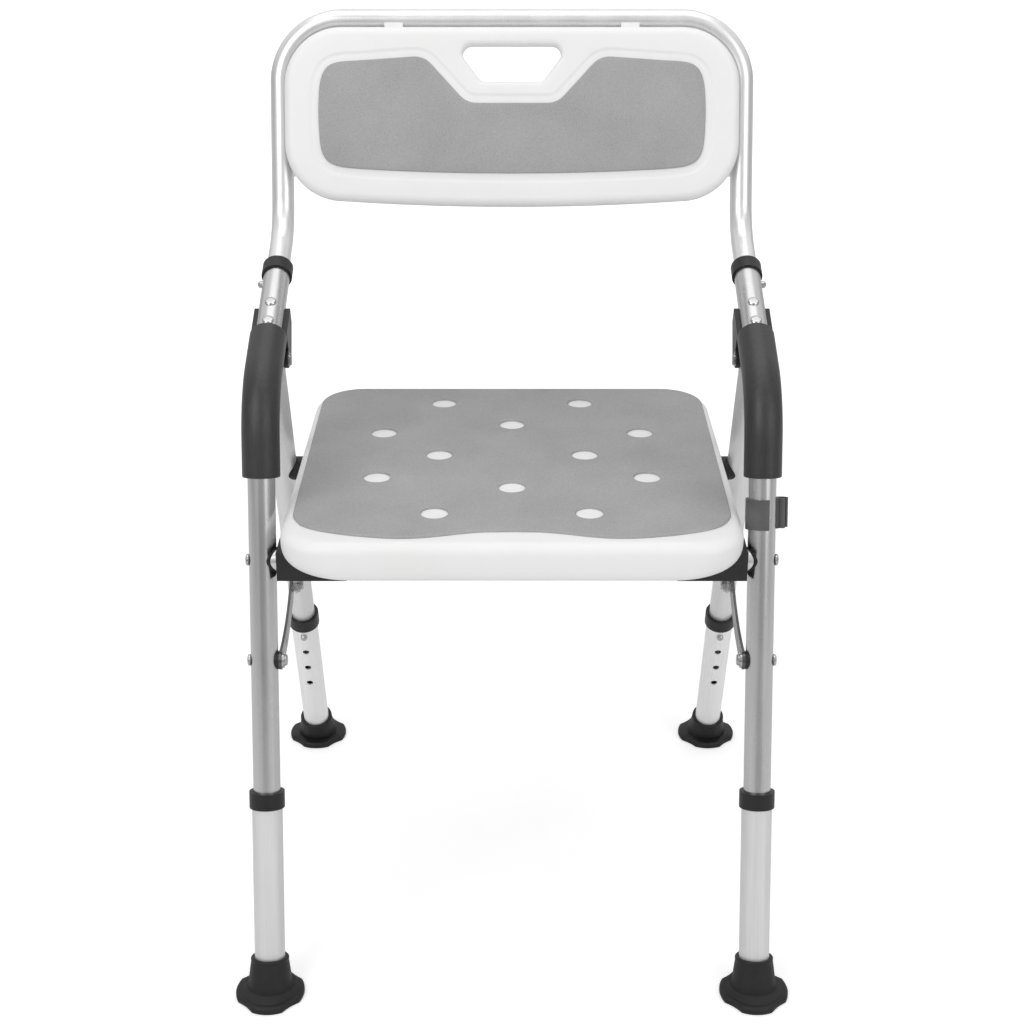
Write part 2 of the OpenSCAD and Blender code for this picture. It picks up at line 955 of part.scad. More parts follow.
module seat_slice(z, in_side, in_end) {
    front_y = seat_front_y + in_end + seat_corner - y_mid;
    rear_y = seat_rear_y - in_end - seat_corner - y_mid;
    for (sx = [-1, 1]) {
        translate([sx * (seat_front_half - in_side - seat_corner), front_y, z])
            cylinder(r = seat_corner, h = slice_h, $fn = hull_fn);
        translate([sx * (seat_rear_half - in_side - seat_corner), rear_y, z])
            cylinder(r = seat_corner, h = slice_h, $fn = hull_fn);
    }
}

channel_gap = 3;
channel_r = cross_r + channel_gap;
channel_flare = 8;
bracket_roof = cross_r + seat_bracket_roof;

module seat_body() {
    upper = seat_top - seat_edge;
    lower = seat_t - seat_edge;
    hull() {
        for (a = edge_angles)
            seat_slice(upper + seat_edge * sin(a) - slice_h, seat_edge * (1 - cos(a)),
                seat_edge * (1 - cos(a)));
        for (a = edge_angles)
            seat_slice(upper - lower * sin(a), seat_under_side * (1 - cos(a)),
                seat_under_end * (1 - cos(a)));
    }
}

module seat_shell() {
    color("white")
        difference() {
            seat_body();
            // channel for the front cross tube and its brackets
            at(front_cross)
                translate([-half, -seat_bracket_half, -seat_t])
                    cube([leg_spacing, 2 * seat_bracket_half, seat_t + bracket_roof]);
            at(front_cross)
                both_sides()
                    bracket_screw_points()
                        z_rod(seat_screw_r, -cut, seat_screw_depth);
            // channel for the rear cross tube, flared where it swings out
            at(rear_cross) {
                x_rod(channel_r, -half, half);
                translate([-half, 0, 0])
                    rotate([90, 0, 90])
                        linear_extrude(leg_spacing)
                            polygon([[-channel_r, 0], [channel_r, 0], [channel_r, -seat_t],
                                [-channel_r - 2 * channel_flare, -seat_t]]);
            }
        }
}

pad_front_y = 84.6;
pad_rear_y = 461;
pad_corner = 38;
pad_rear_corner = 43;
pad_wave = 14.5;
// Centres of the pad's holes: half spacing across, and distance back from the front foot
pad_holes = [[72, 418], [0, 357], [130.5, 334], [72, 276], [130, 220], [0, 196], [71.5, 137]];

module seat_pad() {
    front_corner_y = pad_front_y + pad_corner;
    rear_corner_y = pad_rear_y - pad_rear_corner;
    wave_half = 95;
    color("darkgray")
        translate([0, -y_mid, seat_top])
            difference() {
                union() {
                    translate([-pad_half, front_corner_y, 0])
                        cube([2 * pad_half, rear_corner_y - front_corner_y, pad_t]);
                    for (side = [-1, 1]) {
                        translate([side * (pad_half - pad_corner), front_corner_y, 0])
                            cylinder(r = pad_corner, h = pad_t);
                        translate([side * (pad_half - pad_rear_corner), rear_corner_y, 0])
                            cylinder(r = pad_rear_corner, h = pad_t);
                    }
                    translate([pad_corner - pad_half, pad_front_y, 0])
                        cube([2 * (pad_half - pad_corner), pad_corner, pad_t]);
                    translate([pad_rear_corner - pad_half, rear_corner_y, 0])
                        cube([2 * (pad_half - pad_rear_corner), pad_rear_corner, pad_t]);
                }
                // hollow of the wavy front edge
                wave_r = (wave_half * wave_half + pad_wave * pad_wave) / (2 * pad_wave);
                translate([0, pad_front_y + pad_wave - wave_r, -cut])
                    cylinder(r = wave_r, h = pad_t + 2 * cut, $fn = 128);
                for (hole = pad_holes)
                    for (x = hole[0] == 0 ? [0] : [-hole[0], hole[0]])
                        translate([x, hole[1], -cut])
                            cylinder(d = pad_hole_d, h = pad_t + 2 * cut);
            }
}

flange_t = 4;
flange_reach = 17;
seat_screw_r = 2;
seat_screw_depth = 10;
seat_screw_edge = 6.5;

module bracket_screw_points() {
    first = seat_bracket_out - seat_bracket_len + seat_screw_edge;
    last = seat_bracket_out - seat_under_side - seat_screw_edge;
    for (x = [first, last])
        translate([x, seat_bracket_half + flange_reach / 2, seat_bottom - front_cross[1]])
            children();
}

module front_seat_brackets() {
    drop = front_cross[1] - seat_bottom;
    color("#2d2d2f")
        both_sides()
            at(front_cross)
                difference() {
                    union() {
                        translate([seat_bracket_out - seat_bracket_len, -seat_bracket_half,
                            -cross_r - seat_bracket_wall])
                            cube([seat_bracket_len, 2 * seat_bracket_half,
                                cross_r + seat_bracket_wall + bracket_roof]);
                        translate([seat_bracket_out - seat_bracket_len, seat_bracket_half,
                            -drop - flange_t])
                            cube([seat_bracket_len - seat_under_side, flange_reach, flange_t]);
                    }
                    x_rod(cross_r + pin_gap, 0, leg_spacing);
                    bracket_screw_points()
                        z_rod(seat_screw_r, -flange_t - cut, cut);
                }
}

module seat_bracket_screws() {
    color("gainsboro")
        both_sides()
            at(front_cross)
                bracket_screw_points() {
                    z_rod(seat_screw_r, -flange_t, seat_screw_depth);
                    translate([0, 0, -flange_t])
                        mirror([0, 0, 1])
                            pan_head(seat_screw_r * 2, seat_screw_r);
                }
}

module rear_seat_saddles() {
    saddle_gap = 0.3;
    arc_start = 3;
    saddle_out = seat_saddle_in + seat_saddle_len;
    color("#2d2d2f")
        both_sides()
            at(rear_cross)
                difference() {
                    x_rod(channel_r, seat_saddle_in, saddle_out);
                    x_rod(cross_r + saddle_gap, seat_saddle_in - cut, saddle_out + cut);
                    translate([0, -tube_d, arc_start - far])
                        cube([half, far, far]);
                }
}

// Back tube: two plugs, two uprights and the top rail bent from one tube
back_bend = 90 - arm_rise - back_lean;
back_tangent = back_bend_radius * tan(back_bend / 2);

module back_path(r, plug_start) {
    both_sides() {
        arm_frame()
            z_rod(r, plug_start, back_corner_along - back_tangent + weld);
        arm_frame()
            translate([0, 0, back_corner_along - back_tangent])
                rotate([0, 0, 180])
                    bend(r, back_bend_radius, back_bend);
        translate([half, 0, 0])
            back_frame() {
                z_rod(r, back_tangent - weld, back_height - back_top_radius + weld);
                translate([0, 0, back_height - back_top_radius])
                    rotate([0, 0, 90])
                        bend(r, back_top_radius, 90);
            }
    }
    back_frame()
        translate([0, 0, back_height])
            x_rod(r, back_top_radius - half - weld, half - back_top_radius + weld);
}

panel_screw_r = 2;

module back_tube() {
    color("silver")
        difference() {
            back_path(back_r, arm_length - plug_len);
            back_path(back_bore_r, arm_length - plug_len - cut);
            both_sides()
                arm_frame()
                    translate([0, 0, arm_length - back_button_in])
                        x_rod(button_hole_r, 0, tube_d);
        }
}

// Places of the screws through the side clips, in the back's frame
module back_screw_points() {
    both_sides()
        back_frame()
            for (z = side_clip_heights)
                translate([panel_half - side_screw_reach, side_clip_wall - panel_rear, z])
                    children();
}

panel_edge = 8;
nest_gap = 0.3;
panel_front = panel_rear + panel_t;
pad_recess = 1.5;

// Slab with round corners, its rear face at y = 0 and its front rim eased.
// It spans x from -half_w to half_w and z from low to high.
module eased_slab(half_w, low, high, r, t, ease) {
    near = ease * (1 - sqrt(0.5));
    corner_x = half_w - r;
    for (x = [-corner_x, corner_x])
        for (z = [low + r, high - r])
            translate([x, 0, z])
                rotate([90, 0, 0])
                    rotate_extrude()
                        polygon([[0, 0], [r, 0], [r, t - ease], [r - near, t - near], [r - ease, t], [0, t]]);
    translate([-corner_x, 0, 0])
        rotate([180, -90, 0])
            linear_extrude(2 * corner_x)
                polygon([[low, 0], [high, 0], [high, t - ease], [high - near, t - near],
                    [high - ease, t], [low + ease, t], [low + near, t - near], [low, t - ease]]);
    translate([0, 0, high - r])
        rotate([180, 0, 0])
            linear_extrude(high - low - 2 * r)
                polygon([[-half_w, 0], [half_w, 0], [half_w, t - ease], [half_w - near, t - near],
                    [half_w - ease, t], [ease - half_w, t], [near - half_w, t - near],
                    [-half_w, t - ease]]);
}

// Front shell with an eased rim, over a rear layer that nests inside the tube
module panel_body() {
    step = back_r + nest_gap;
    nest_half = min(half - step, panel_half - nest_inset);
    translate([0, -step, 0])
        eased_slab(panel_half, panel_low, panel_high, panel_corner, panel_front - step, panel_edge);
    translate([0, -panel_rear, 0])
        eased_slab(nest_half, panel_low + nest_inset, panel_high - nest_inset,
            panel_corner - nest_inset, step - panel_rear + nest_gap, nest_gap);
}

module hand_hole() {
    r = 8;
    translate([0, -panel_rear + cut, 0])
        rotate([90, 0, 0])
            hull() {
                for (x = [r - hand_top_half, hand_top_half - r])
                    translate([x, hand_high - r, 0])
                        cylinder(r = r, h = panel_t + 2 * cut, $fn = hull_fn);
                for (x = [r - hand_low_half, hand_low_half - r])
                    translate([x, hand_high - hand_h + r, 0])
                        cylinder(r = r, h = panel_t + 2 * cut, $fn = hull_fn);
            }
}

// Outline of the back pad, in x and height up the back
back_pad_top_half = 180;
back_pad_mid_half = 192.5;
back_pad_low_half = 178;
back_pad_high = 165.5;
back_pad_mid = 115;
back_pad_side_low = 67;
back_pad_low = 53.8;
pad_notch_top_half = 93;
pad_notch_low_half = 47;
pad_notch_low = 122.5;
pad_bow_steps = 8;

module back_pad_outline() {
    bow = [for (i = [0 : pad_bow_steps])
        let (x = back_pad_low_half * (1 - 2 * i / pad_bow_steps))
            [x, back_pad_low + (back_pad_side_low - back_pad_low) * pow(x / back_pad_low_half, 2)]];
    polygon(concat([
        [-back_pad_mid_half, back_pad_mid],
        [-back_pad_top_half, back_pad_high],
        [-pad_notch_top_half, back_pad_high],
        [-pad_notch_low_half, pad_notch_low],
        [pad_notch_low_half, pad_notch_low],
        [pad_notch_top_half, back_pad_high],
        [back_pad_top_half, back_pad_high],
        [back_pad_mid_half, back_pad_mid]], bow));
}

module back_pad_block() {
    back_frame()
        translate([0, pad_recess - panel_front, 0])
            rotate([90, 0, 0])
                linear_extrude(pad_t)
                    back_pad_outline();
}

module back_panel() {
    color("white")
        difference() {
            back_frame()
                difference() {
                    panel_body();
                    hand_hole();
                }
            back_pad_block();
            back_screw_points()
                rotate([90, 0, 0])
                    cylinder(r = panel_screw_r, h = panel_screw_len);
            back_clip_tails(nest_gap);
        }
}

module back_pad() {
    color("darkgray")
        back_pad_block();
}

// Side clips that hold the panel to the uprights from behind
side_clip_heights = [60, 125];
side_clip_reach = 25.5;
side_screw_reach = 20.5;
side_clip_wrap = 6;
side_clip_wall = 2.5;
side_clip_h = 16;
panel_screw_len = 14;

module back_side_clips() {
    color("white")
        difference() {
            both_sides()
                back_frame()
                    for (z = side_clip_heights)
                        translate([0, 0, z - side_clip_h / 2])
                            difference() {
                                union() {
                                    translate([half, 0, 0])
                                        cylinder(r = back_r + side_clip_wall, h = side_clip_h);
                                    translate([panel_half - side_clip_reach, -panel_rear, 0])
                                        cube([half - panel_half + side_clip_reach, side_clip_wall,
                                            side_clip_h]);
                                }
                                translate([half, 0, 0])
                                    z_rod(back_r, -cut, side_clip_h + cut);
                                translate([0, -panel_rear - tube_d, -cut])
                                    cube([leg_spacing, tube_d, side_clip_h + 2 * cut]);
                                // the clips stop behind the uprights
                                translate([half + side_clip_wrap, -tube_d, -cut])
                                    cube([tube_d, far, side_clip_h + 2 * cut]);
                            }
            back_screw_points()
                rotate([90, 0, 0])
                    cylinder(r = panel_screw_r, h = tube_d, center = true);
        }
}

module back_panel_screws() {
    color("gainsboro")
        back_screw_points() {
            rotate([90, 0, 0])
                cylinder(r = panel_screw_r, h = panel_screw_len);
            rotate([-90, 0, 0])
                pan_head(panel_screw_r * 2, panel_screw_r);
        }
}

// Clips that hook the panel's upper edge to the top rail
panel_clip_x = 117;
panel_clip_w = 18;
panel_clip_wall = 2.5;
panel_clip_tail = 16;
panel_clip_open = 4;
panel_clip_front = 4;

module back_clip_tails(grow) {
    both_sides()
        back_frame()
            translate([panel_clip_x - panel_clip_w / 2 - grow, -back_r - panel_clip_wall - grow,
                back_height - back_r - panel_clip_tail - grow])
                cube([panel_clip_w + 2 * grow, panel_clip_wall + 2 * grow, back_r + panel_clip_tail]);
}

module back_panel_clips() {
    color("white")
        difference() {
            union() {
                back_clip_tails(0);
                both_sides()
                    back_frame()
                        translate([0, 0, back_height])
                            x_rod(back_r + panel_clip_wall, panel_clip_x - panel_clip_w / 2,
                                panel_clip_x + panel_clip_w / 2);
            }
            both_sides()
                back_frame()
                    translate([0, 0, back_height]) {
                        x_rod(back_r, 0, half);
                        translate([0, 0, panel_clip_open])
                            cube([half, tube_d, tube_d]);
                        translate([0, -tube_d, -panel_clip_front])
                            cube([half, tube_d, tube_d + panel_clip_front]);
                    }
        }
}

// Clip that snaps round the right front leg and carries a C-shaped hook
hook_wall = 2;
hook_mouth = 1;
ring_cover = 4.9;

module hose_clip() {
    ring_r = ext_bore_r + clip_wall;
    hook_r = hook_d / 2;
    hook_x = ring_r + hook_r - clip_wall / 2;
    color("dimgray")
        leg_frame()
            translate([0, 0, clip_along - clip_h / 2])
                difference() {
                    union() {
                        cylinder(r = ring_r, h = clip_h);
                        rotate([0, 0, hook_turn])
                            translate([hook_x, 0, 0])
                                cylinder(r = hook_r, h = clip_h);
                    }
                    z_rod(ext_bore_r, -cut, clip_h + cut);
                    // open front of the snap ring, right of the leg's middle
                    translate([ring_cover, -far, -cut])
                        cube([far, far, clip_h + 2 * cut]);
                    rotate([0, 0, hook_turn])
                        translate([hook_x, 0, 0]) {
                            z_rod(hook_r - hook_wall, -cut, clip_h + cut);
                            // mouth of the hook
                            translate([0, -hook_d - hook_mouth, -cut])
                                cube([hook_d, hook_d, clip_h + 2 * cut]);
                        }
                }
}

side_tube(-1);  // left_side_tube
side_tube(1);  // right_side_tube
arm_grip(-1);  // left_arm_grip
arm_grip(1);  // right_arm_grip
front_cross_tube();
front_cross_saddles();
front_cross_screws();
hinge_bracket(-1);  // left_hinge_bracket
hinge_bracket(1);  // right_hinge_bracket
bracket_screws();
hinge_pins();
link_pivot_bolts();
link_pivot_saddles();
link_pivot_spacers();
arm_end_collars();
front_leg_springs();
rear_tube(-1);  // left_rear_tube
rear_tube(1);  // right_rear_tube
rear_cross_tube();
rear_cross_saddles();
rear_cross_screws();
brace_bosses();
rear_leg_springs();
seat_shell();
seat_pad();
front_seat_brackets();
seat_bracket_screws();
rear_seat_saddles();
back_tube();
back_panel();
back_pad();
back_side_clips();
back_panel_clips();
back_panel_screws();
back_plug_springs();
link(-1);  // left_link
link(1);  // right_link
brace(-1);  // left_brace
brace(1);  // right_brace
brace_rivets(-1);  // left_brace_rivets
brace_rivets(1);  // right_brace_rivets
front_leg(-1) extension(front_ext_top, 1);  // front_left_extension
front_leg(1) extension(front_ext_top, 1);  // front_right_extension
rear_leg(-1) extension(rear_ext_top, -1);  // rear_left_extension
rear_leg(1) extension(rear_ext_top, -1);  // rear_right_extension
front_leg(-1) leg_collar(front_ext_top);  // front_left_collar
front_leg(1) leg_collar(front_ext_top);  // front_right_collar
rear_leg(-1) leg_collar(rear_ext_top);  // rear_left_collar
rear_leg(1) leg_collar(rear_ext_top);  // rear_right_collar
front_foot(-1);  // front_left_foot
front_foot(1);  // front_right_foot
rear_foot(-1);  // rear_left_foot
rear_foot(1);  // rear_right_foot
front_leg(-1) height_button(front_ext_top, 1);  // front_left_button
front_leg(1) height_button(front_ext_top, 1);  // front_right_button
rear_leg(-1) height_button(rear_ext_top, -1);  // rear_left_button
rear_leg(1) height_button(rear_ext_top, -1);  // rear_right_button
back_button(-1);  // left_back_button
back_button(1);  // right_back_button
hose_clip();
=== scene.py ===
import math

import bmesh
import bpy
import numpy as np
from mathutils import Euler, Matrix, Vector
from mathutils.geometry import delaunay_2d_cdt


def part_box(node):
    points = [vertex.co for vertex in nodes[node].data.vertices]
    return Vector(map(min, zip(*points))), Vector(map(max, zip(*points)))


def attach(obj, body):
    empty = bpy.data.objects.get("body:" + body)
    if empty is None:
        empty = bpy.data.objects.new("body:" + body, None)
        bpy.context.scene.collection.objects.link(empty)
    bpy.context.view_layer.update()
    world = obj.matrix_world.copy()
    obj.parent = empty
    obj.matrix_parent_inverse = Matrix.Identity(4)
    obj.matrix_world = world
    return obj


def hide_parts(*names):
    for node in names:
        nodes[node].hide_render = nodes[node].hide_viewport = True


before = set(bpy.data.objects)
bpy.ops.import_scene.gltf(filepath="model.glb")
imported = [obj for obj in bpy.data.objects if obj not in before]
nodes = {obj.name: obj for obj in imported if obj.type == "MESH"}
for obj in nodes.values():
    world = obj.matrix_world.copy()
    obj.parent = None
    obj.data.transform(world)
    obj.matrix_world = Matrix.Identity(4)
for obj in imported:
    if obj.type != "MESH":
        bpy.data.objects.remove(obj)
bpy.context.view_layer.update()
MM = 0.001

# The chair's middle, in millimetres behind the front feet
Y_MID = 234.105
# How the tubes lean from upright (a positive angle leans to the rear), and how the arms rise
LEG_LEAN, REAR_LEAN, BACK_LEAN = math.radians(17.0), math.radians(-21.5), math.radians(18.5)
ARM_RISE = math.radians(22.0)
# Bore of what sits on a leg tube
LEG_R = 12.75

# ---------------------------------------------------------------- camera

camera_data = bpy.data.cameras.new("camera")
camera_data.sensor_width = 36.0
camera_data.lens = 63.28
camera = bpy.data.objects.new("camera", camera_data)
bpy.context.scene.collection.objects.link(camera)
camera.location = (0.0, -1.6053, 1.129)
camera.rotation_euler = Euler((math.radians(65.5), 0.0, 0.0))
bpy.context.scene.camera = camera

# ---------------------------------------------------------------- materials


class Tree:
    """Short names for building a node tree."""

    def __init__(self, owner, empty=False):
        owner.use_nodes = True
        self.nodes, self.links = owner.node_tree.nodes, owner.node_tree.links
        if empty:
            self.nodes.clear()

    def add(self, kind, **values):
        node = self.nodes.new(kind)
        for key, value in values.items():
            if key in node.inputs:
                node.inputs[key].default_value = value
            else:
                setattr(node, key, value)
        return node

    def link(self, a, b):
        self.links.new(a, b)

    def ramp(self, fac, stops, interpolation="LINEAR"):
        node = self.add("ShaderNodeValToRGB")
        node.color_ramp.interpolation = interpolation
        elements = node.color_ramp.elements
        while len(elements) < len(stops):
            elements.new(0.5)
        for element, (at, colour) in zip(elements, stops):
            element.position = at
            element.color = (*colour, 1.0)
        self.link(fac, node.inputs["Fac"])
        return node.outputs["Color"]

    def span(self, fac, low, high, from_low=0.3, from_high=0.7):
        node = self.add("ShaderNodeMapRange")
        node.inputs["From Min"].default_value = from_low
        node.inputs["From Max"].default_value = from_high
        node.inputs["To Min"].default_value = low
        node.inputs["To Max"].default_value = high
        self.link(fac, node.inputs["Value"])
        return node.outputs["Result"]

    def math(self, operation, a, b):
        node = self.add("ShaderNodeMath", operation=operation)
        for socket, value in zip(node.inputs, (a, b)):
            if isinstance(value, (int, float)):
                socket.default_value = value
            else:
                self.link(value, socket)
        return node.outputs["Value"]

    def mix(self, a, share_of_b, b):
        """a where the share is 0 and b where it is 1, for two shaders."""
        node = self.add("ShaderNodeMixShader")
        for socket, source in zip(node.inputs, (share_of_b, a, b)):
            self.link(source, socket)
        return node.outputs["Shader"]


class Surface(Tree):
    """The node tree of a new material with a Principled shader."""

    def __init__(self, name):
        self.material = bpy.data.materials.new(name)
        super().__init__(self.material)
        self.shader = self.nodes["Principled BSDF"]

    def place(self, scale=(1.0, 1.0, 1.0), turn=(0.0, 0.0, 0.0)):
        """Object coordinates, turned and then stretched."""
        coords = self.add("ShaderNodeTexCoord")
        turned = self.add("ShaderNodeMapping", vector_type="POINT", Rotation=turn)
        stretched = self.add("ShaderNodeMapping", vector_type="POINT", Scale=scale)
        self.link(coords.outputs["Object"], turned.inputs["Vector"])
        self.link(turned.outputs["Vector"], stretched.inputs["Vector"])
        return stretched.outputs["Vector"]

    def noise(self, vector, scale, detail=4.0, rough=0.55):
        node = self.add("ShaderNodeTexNoise", Scale=scale, Detail=detail, Roughness=rough)
        self.link(vector, node.inputs["Vector"])
        return node.outputs["Fac"]

    def bump(self, height, strength, distance, below=None):
        node = self.add("ShaderNodeBump", Strength=strength, Distance=distance)
        self.link(height, node.inputs["Height"])
        if below is not None:
            self.link(below, node.inputs["Normal"])
        return node.outputs["Normal"]

    def finish(self, colour, roughness, normal, **fixed):
        self.link(colour, self.shader.inputs["Base Color"])
        self.link(roughness, self.shader.inputs["Roughness"])
        self.link(normal, self.shader.inputs["Normal"])
        for key, value in fixed.items():
            self.shader.inputs[key.replace("_", " ")].default_value = value
        return self.material


def grey(value):
    return (value, value, value)


def drawn_aluminium(name, turn, tone, rough, metal=1.0):
    """Aluminium tube with drawing lines along its length, which lies along Z once turned."""
    n = Surface(name)
    lines = n.noise(n.place((1.0, 1.0, 0.012), turn), 900.0, 3.0)
    clouds = n.noise(n.place((1.0, 1.0, 0.3), turn), 22.0, 3.0)
    grain = n.noise(n.place(), 2600.0, 2.0)
    colour = n.ramp(
        n.math("ADD", n.math("MULTIPLY", lines, 0.55), n.math("MULTIPLY", clouds, 0.45)),
        [(0.3, grey(tone * 0.93)), (0.5, grey(tone)), (0.7, grey(min(tone * 1.06, 0.97)))],
    )
    roughness = n.span(clouds, rough - 0.05, rough + 0.06)
    normal = n.bump(lines, 0.10, 0.0002, n.bump(grain, 0.05, 0.0001))
    return n.finish(colour, roughness, normal, Metallic=metal)


def white_shell():
    """Blow-moulded white polyethylene with a faint orange peel."""
    n = Surface("white_polyethylene")
    place = n.place()
    peel = n.noise(place, 210.0, 3.0)
    flow = n.noise(place, 7.0, 4.0)
    fine = n.noise(place, 1500.0, 2.0)
    colour = n.ramp(flow, [(0.3, (0.885, 0.885, 0.88)), (0.7, (0.915, 0.915, 0.915))])
    roughness = n.span(flow, 0.40, 0.50)
    normal = n.bump(peel, 0.06, 0.0006, n.bump(fine, 0.05, 0.0001))
    return n.finish(colour, roughness, normal, Specular_IOR_Level=0.4)


def grey_mat():
    """Closed-cell foam sheet with an open, speckled skin."""
    n = Surface("grey_foam_sheet")
    place = n.place()
    speckle = n.noise(place, 1150.0, 3.0, 0.7)
    cells = n.add("ShaderNodeTexVoronoi", Scale=720.0)
    n.link(place, cells.inputs["Vector"])
    blotch = n.noise(place, 14.0, 4.0)
    mixed = n.math("ADD", n.math("MULTIPLY", speckle, 0.75), n.math("MULTIPLY", blotch, 0.25))
    colour = n.ramp(mixed, [(0.34, grey(0.31)), (0.5, grey(0.395)), (0.66, grey(0.485))])
    roughness = n.span(speckle, 0.80, 0.95)
    height = n.math("ADD", speckle, n.math("MULTIPLY", cells.outputs["Distance"], 0.6))
    normal = n.bump(height, 0.35, 0.0004)
    return n.finish(colour, roughness, normal, Specular_IOR_Level=0.25, Sheen_Weight=0.05)


def grip_foam():
    """Dense black foam sleeve with a smooth skin and faint lengthwise streaks."""
    n = Surface("black_foam_sleeve")
    place = n.place()
    streaks = n.noise(n.place((1.0, 1.0, 0.12), (LEG_LEAN, 0.0, 0.0)), 420.0, 4.0)
    pores = n.noise(place, 1900.0, 3.0, 0.65)
    wear = n.noise(place, 16.0, 5.0)
    colour = n.ramp(
        n.math("ADD", n.math("MULTIPLY", streaks, 0.5), n.math("MULTIPLY", wear, 0.5)),
        [(0.35, grey(0.018)), (0.55, grey(0.026)), (0.72, grey(0.036))],
    )
    roughness = n.span(wear, 0.34, 0.46)
    normal = n.bump(pores, 0.22, 0.0003, n.bump(streaks, 0.08, 0.0003))
    return n.finish(colour, roughness, normal, Specular_IOR_Level=0.5)


def moulded_black(name, tone, rough, grain_scale, grain):
    """Black moulding with a spark-eroded grain, a little paler where it is handled."""
    n = Surface(name)
    place = n.place()
    pits = n.noise(place, grain_scale, 4.0, 0.6)
    dust = n.noise(place, 26.0, 5.0)
    colour = n.ramp(
        dust, [(0.35, grey(tone * 0.8)), (0.55, grey(tone)), (0.75, grey(tone * 1.35))]
    )
    roughness = n.span(dust, rough - 0.06, rough + 0.08)
    return n.finish(colour, roughness, n.bump(pits, grain, 0.0003), Specular_IOR_Level=0.32)


def turned_steel(name, tone, rough):
    """Plated steel with fine scratches and duller patches."""
    n = Surface(name)
    place = n.place()
    scratch = n.noise(n.place((1.0, 0.15, 1.0), (0.4, 0.3, 0.2)), 2100.0, 3.0)
    patch = n.noise(place, 60.0, 4.0)
    colour = n.ramp(patch, [(0.35, grey(tone * 0.86)), (0.65, grey(tone))])
    roughness = n.span(patch, rough - 0.06, rough + 0.10)
    return n.finish(colour, roughness, n.bump(scratch, 0.04, 0.0001), Metallic=1.0)


# Turns that bring each tube's length along Z
lean_front = (LEG_LEAN, 0.0, 0.0)
lean_rear = (REAR_LEAN, 0.0, 0.0)
lean_back = (BACK_LEAN, 0.0, 0.0)
lie_across = (0.0, math.pi / 2, 0.0)

m_front_tube = drawn_aluminium("anodised_front_tube", lean_front, 0.57, 0.27)
m_rear_tube = drawn_aluminium("anodised_rear_tube", lean_rear, 0.78, 0.42, 0.7)
m_front_leg = drawn_aluminium("anodised_front_leg", lean_front, 0.76, 0.62)
m_rear_leg = drawn_aluminium("anodised_rear_leg", lean_rear, 0.95, 0.62)
m_back_tube = drawn_aluminium("bright_back_tube", lean_back, 0.78, 0.33, 0.8)
m_cross_tube = drawn_aluminium("anodised_cross_tube", lie_across, 0.66, 0.34)
m_white = white_shell()
m_mat = grey_mat()
m_grip = grip_foam()
m_plastic = moulded_black("black_nylon", 0.017, 0.40, 1300.0, 0.18)
m_rubber = moulded_black("black_rubber", 0.013, 0.50, 900.0, 0.30)
m_clip = moulded_black("grey_clip_plastic", 0.105, 0.36, 1100.0, 0.15)
m_screw = turned_steel("plated_screw", 0.50, 0.22)
m_link = turned_steel("dark_link_steel", 0.13, 0.24)
m_strip = turned_steel("bright_brace_steel", 0.62, 0.24)

finishes = {
    m_front_tube: ["left_side_tube", "right_side_tube"],
    m_rear_tube: ["left_rear_tube", "right_rear_tube"],
    m_front_leg: ["front_left_extension", "front_right_extension"],
    m_rear_leg: ["rear_left_extension", "rear_right_extension"],
    m_back_tube: ["back_tube"],
    m_cross_tube: ["front_cross_tube", "rear_cross_tube"],
    m_white: ["seat_shell", "back_panel", "back_side_clips", "back_panel_clips"],
    m_mat: ["seat_pad", "back_pad"],
    m_grip: ["left_arm_grip", "right_arm_grip"],
    m_plastic: [
        "front_cross_saddles",
        "rear_cross_saddles",
        "left_hinge_bracket",
        "right_hinge_bracket",
        "link_pivot_saddles",
        "arm_end_collars",
        "front_seat_brackets",
        "rear_seat_saddles",
        "front_left_collar",
        "front_right_collar",
        "rear_left_collar",
        "rear_right_collar",
    ],
    m_rubber: ["front_left_foot", "front_right_foot", "rear_left_foot", "rear_right_foot"],
    m_clip: ["hose_clip"],
    m_link: ["left_link", "right_link"],
    m_strip: ["left_brace", "right_brace"],
}
finish_of = {node: material for material, names in finishes.items() for node in names}
# Every node that isn't named above is a screw, rivet, pin, button or spring
for node_name, node in nodes.items():
    node.data.materials.clear()
    node.data.materials.append(finish_of.get(node_name, m_screw))

# ---------------------------------------------------------------- mesh helpers


def make(name, verts, faces, material):
    """A new object from points in metres and faces, smooth all over."""
    mesh = bpy.data.meshes.new(name)
    mesh.from_pydata([tuple(float(c) for c in v) for v in verts], [], faces)
    mesh.validate()
    built = bmesh.new()
    built.from_mesh(mesh)
    bmesh.ops.remove_doubles(built, verts=built.verts, dist=1e-7)
    bmesh.ops.recalc_face_normals(built, faces=built.faces)
    built.to_mesh(mesh)
    built.free()
    mesh.polygons.foreach_set("use_smooth", [True] * len(mesh.polygons))
    obj = bpy.data.objects.new(name, mesh)
    bpy.context.scene.collection.objects.link(obj)
    mesh.materials.append(material)
    return obj


def stitch(rings, around, closed=False):
    """Quads between neighbouring rings, which are given by their first points' numbers."""
    faces = []
    for a, b in zip(rings, rings[1:] + rings[:1] if closed else rings[1:]):
        for i in range(around):
            j = (i + 1) % around
            faces.append((a + i, a + j, b + j, b + i))
    return faces


def smooth_by_angle(obj, degrees):
    """Keeps edges sharper than this angle sharp."""
    built = bmesh.new()
    built.from_mesh(obj.data)
    limit = math.radians(degrees)
    for edge in built.edges:
        if len(edge.link_faces) == 2:
            edge.smooth = edge.calc_face_angle(0.0) < limit
    built.to_mesh(obj.data)
    built.free()


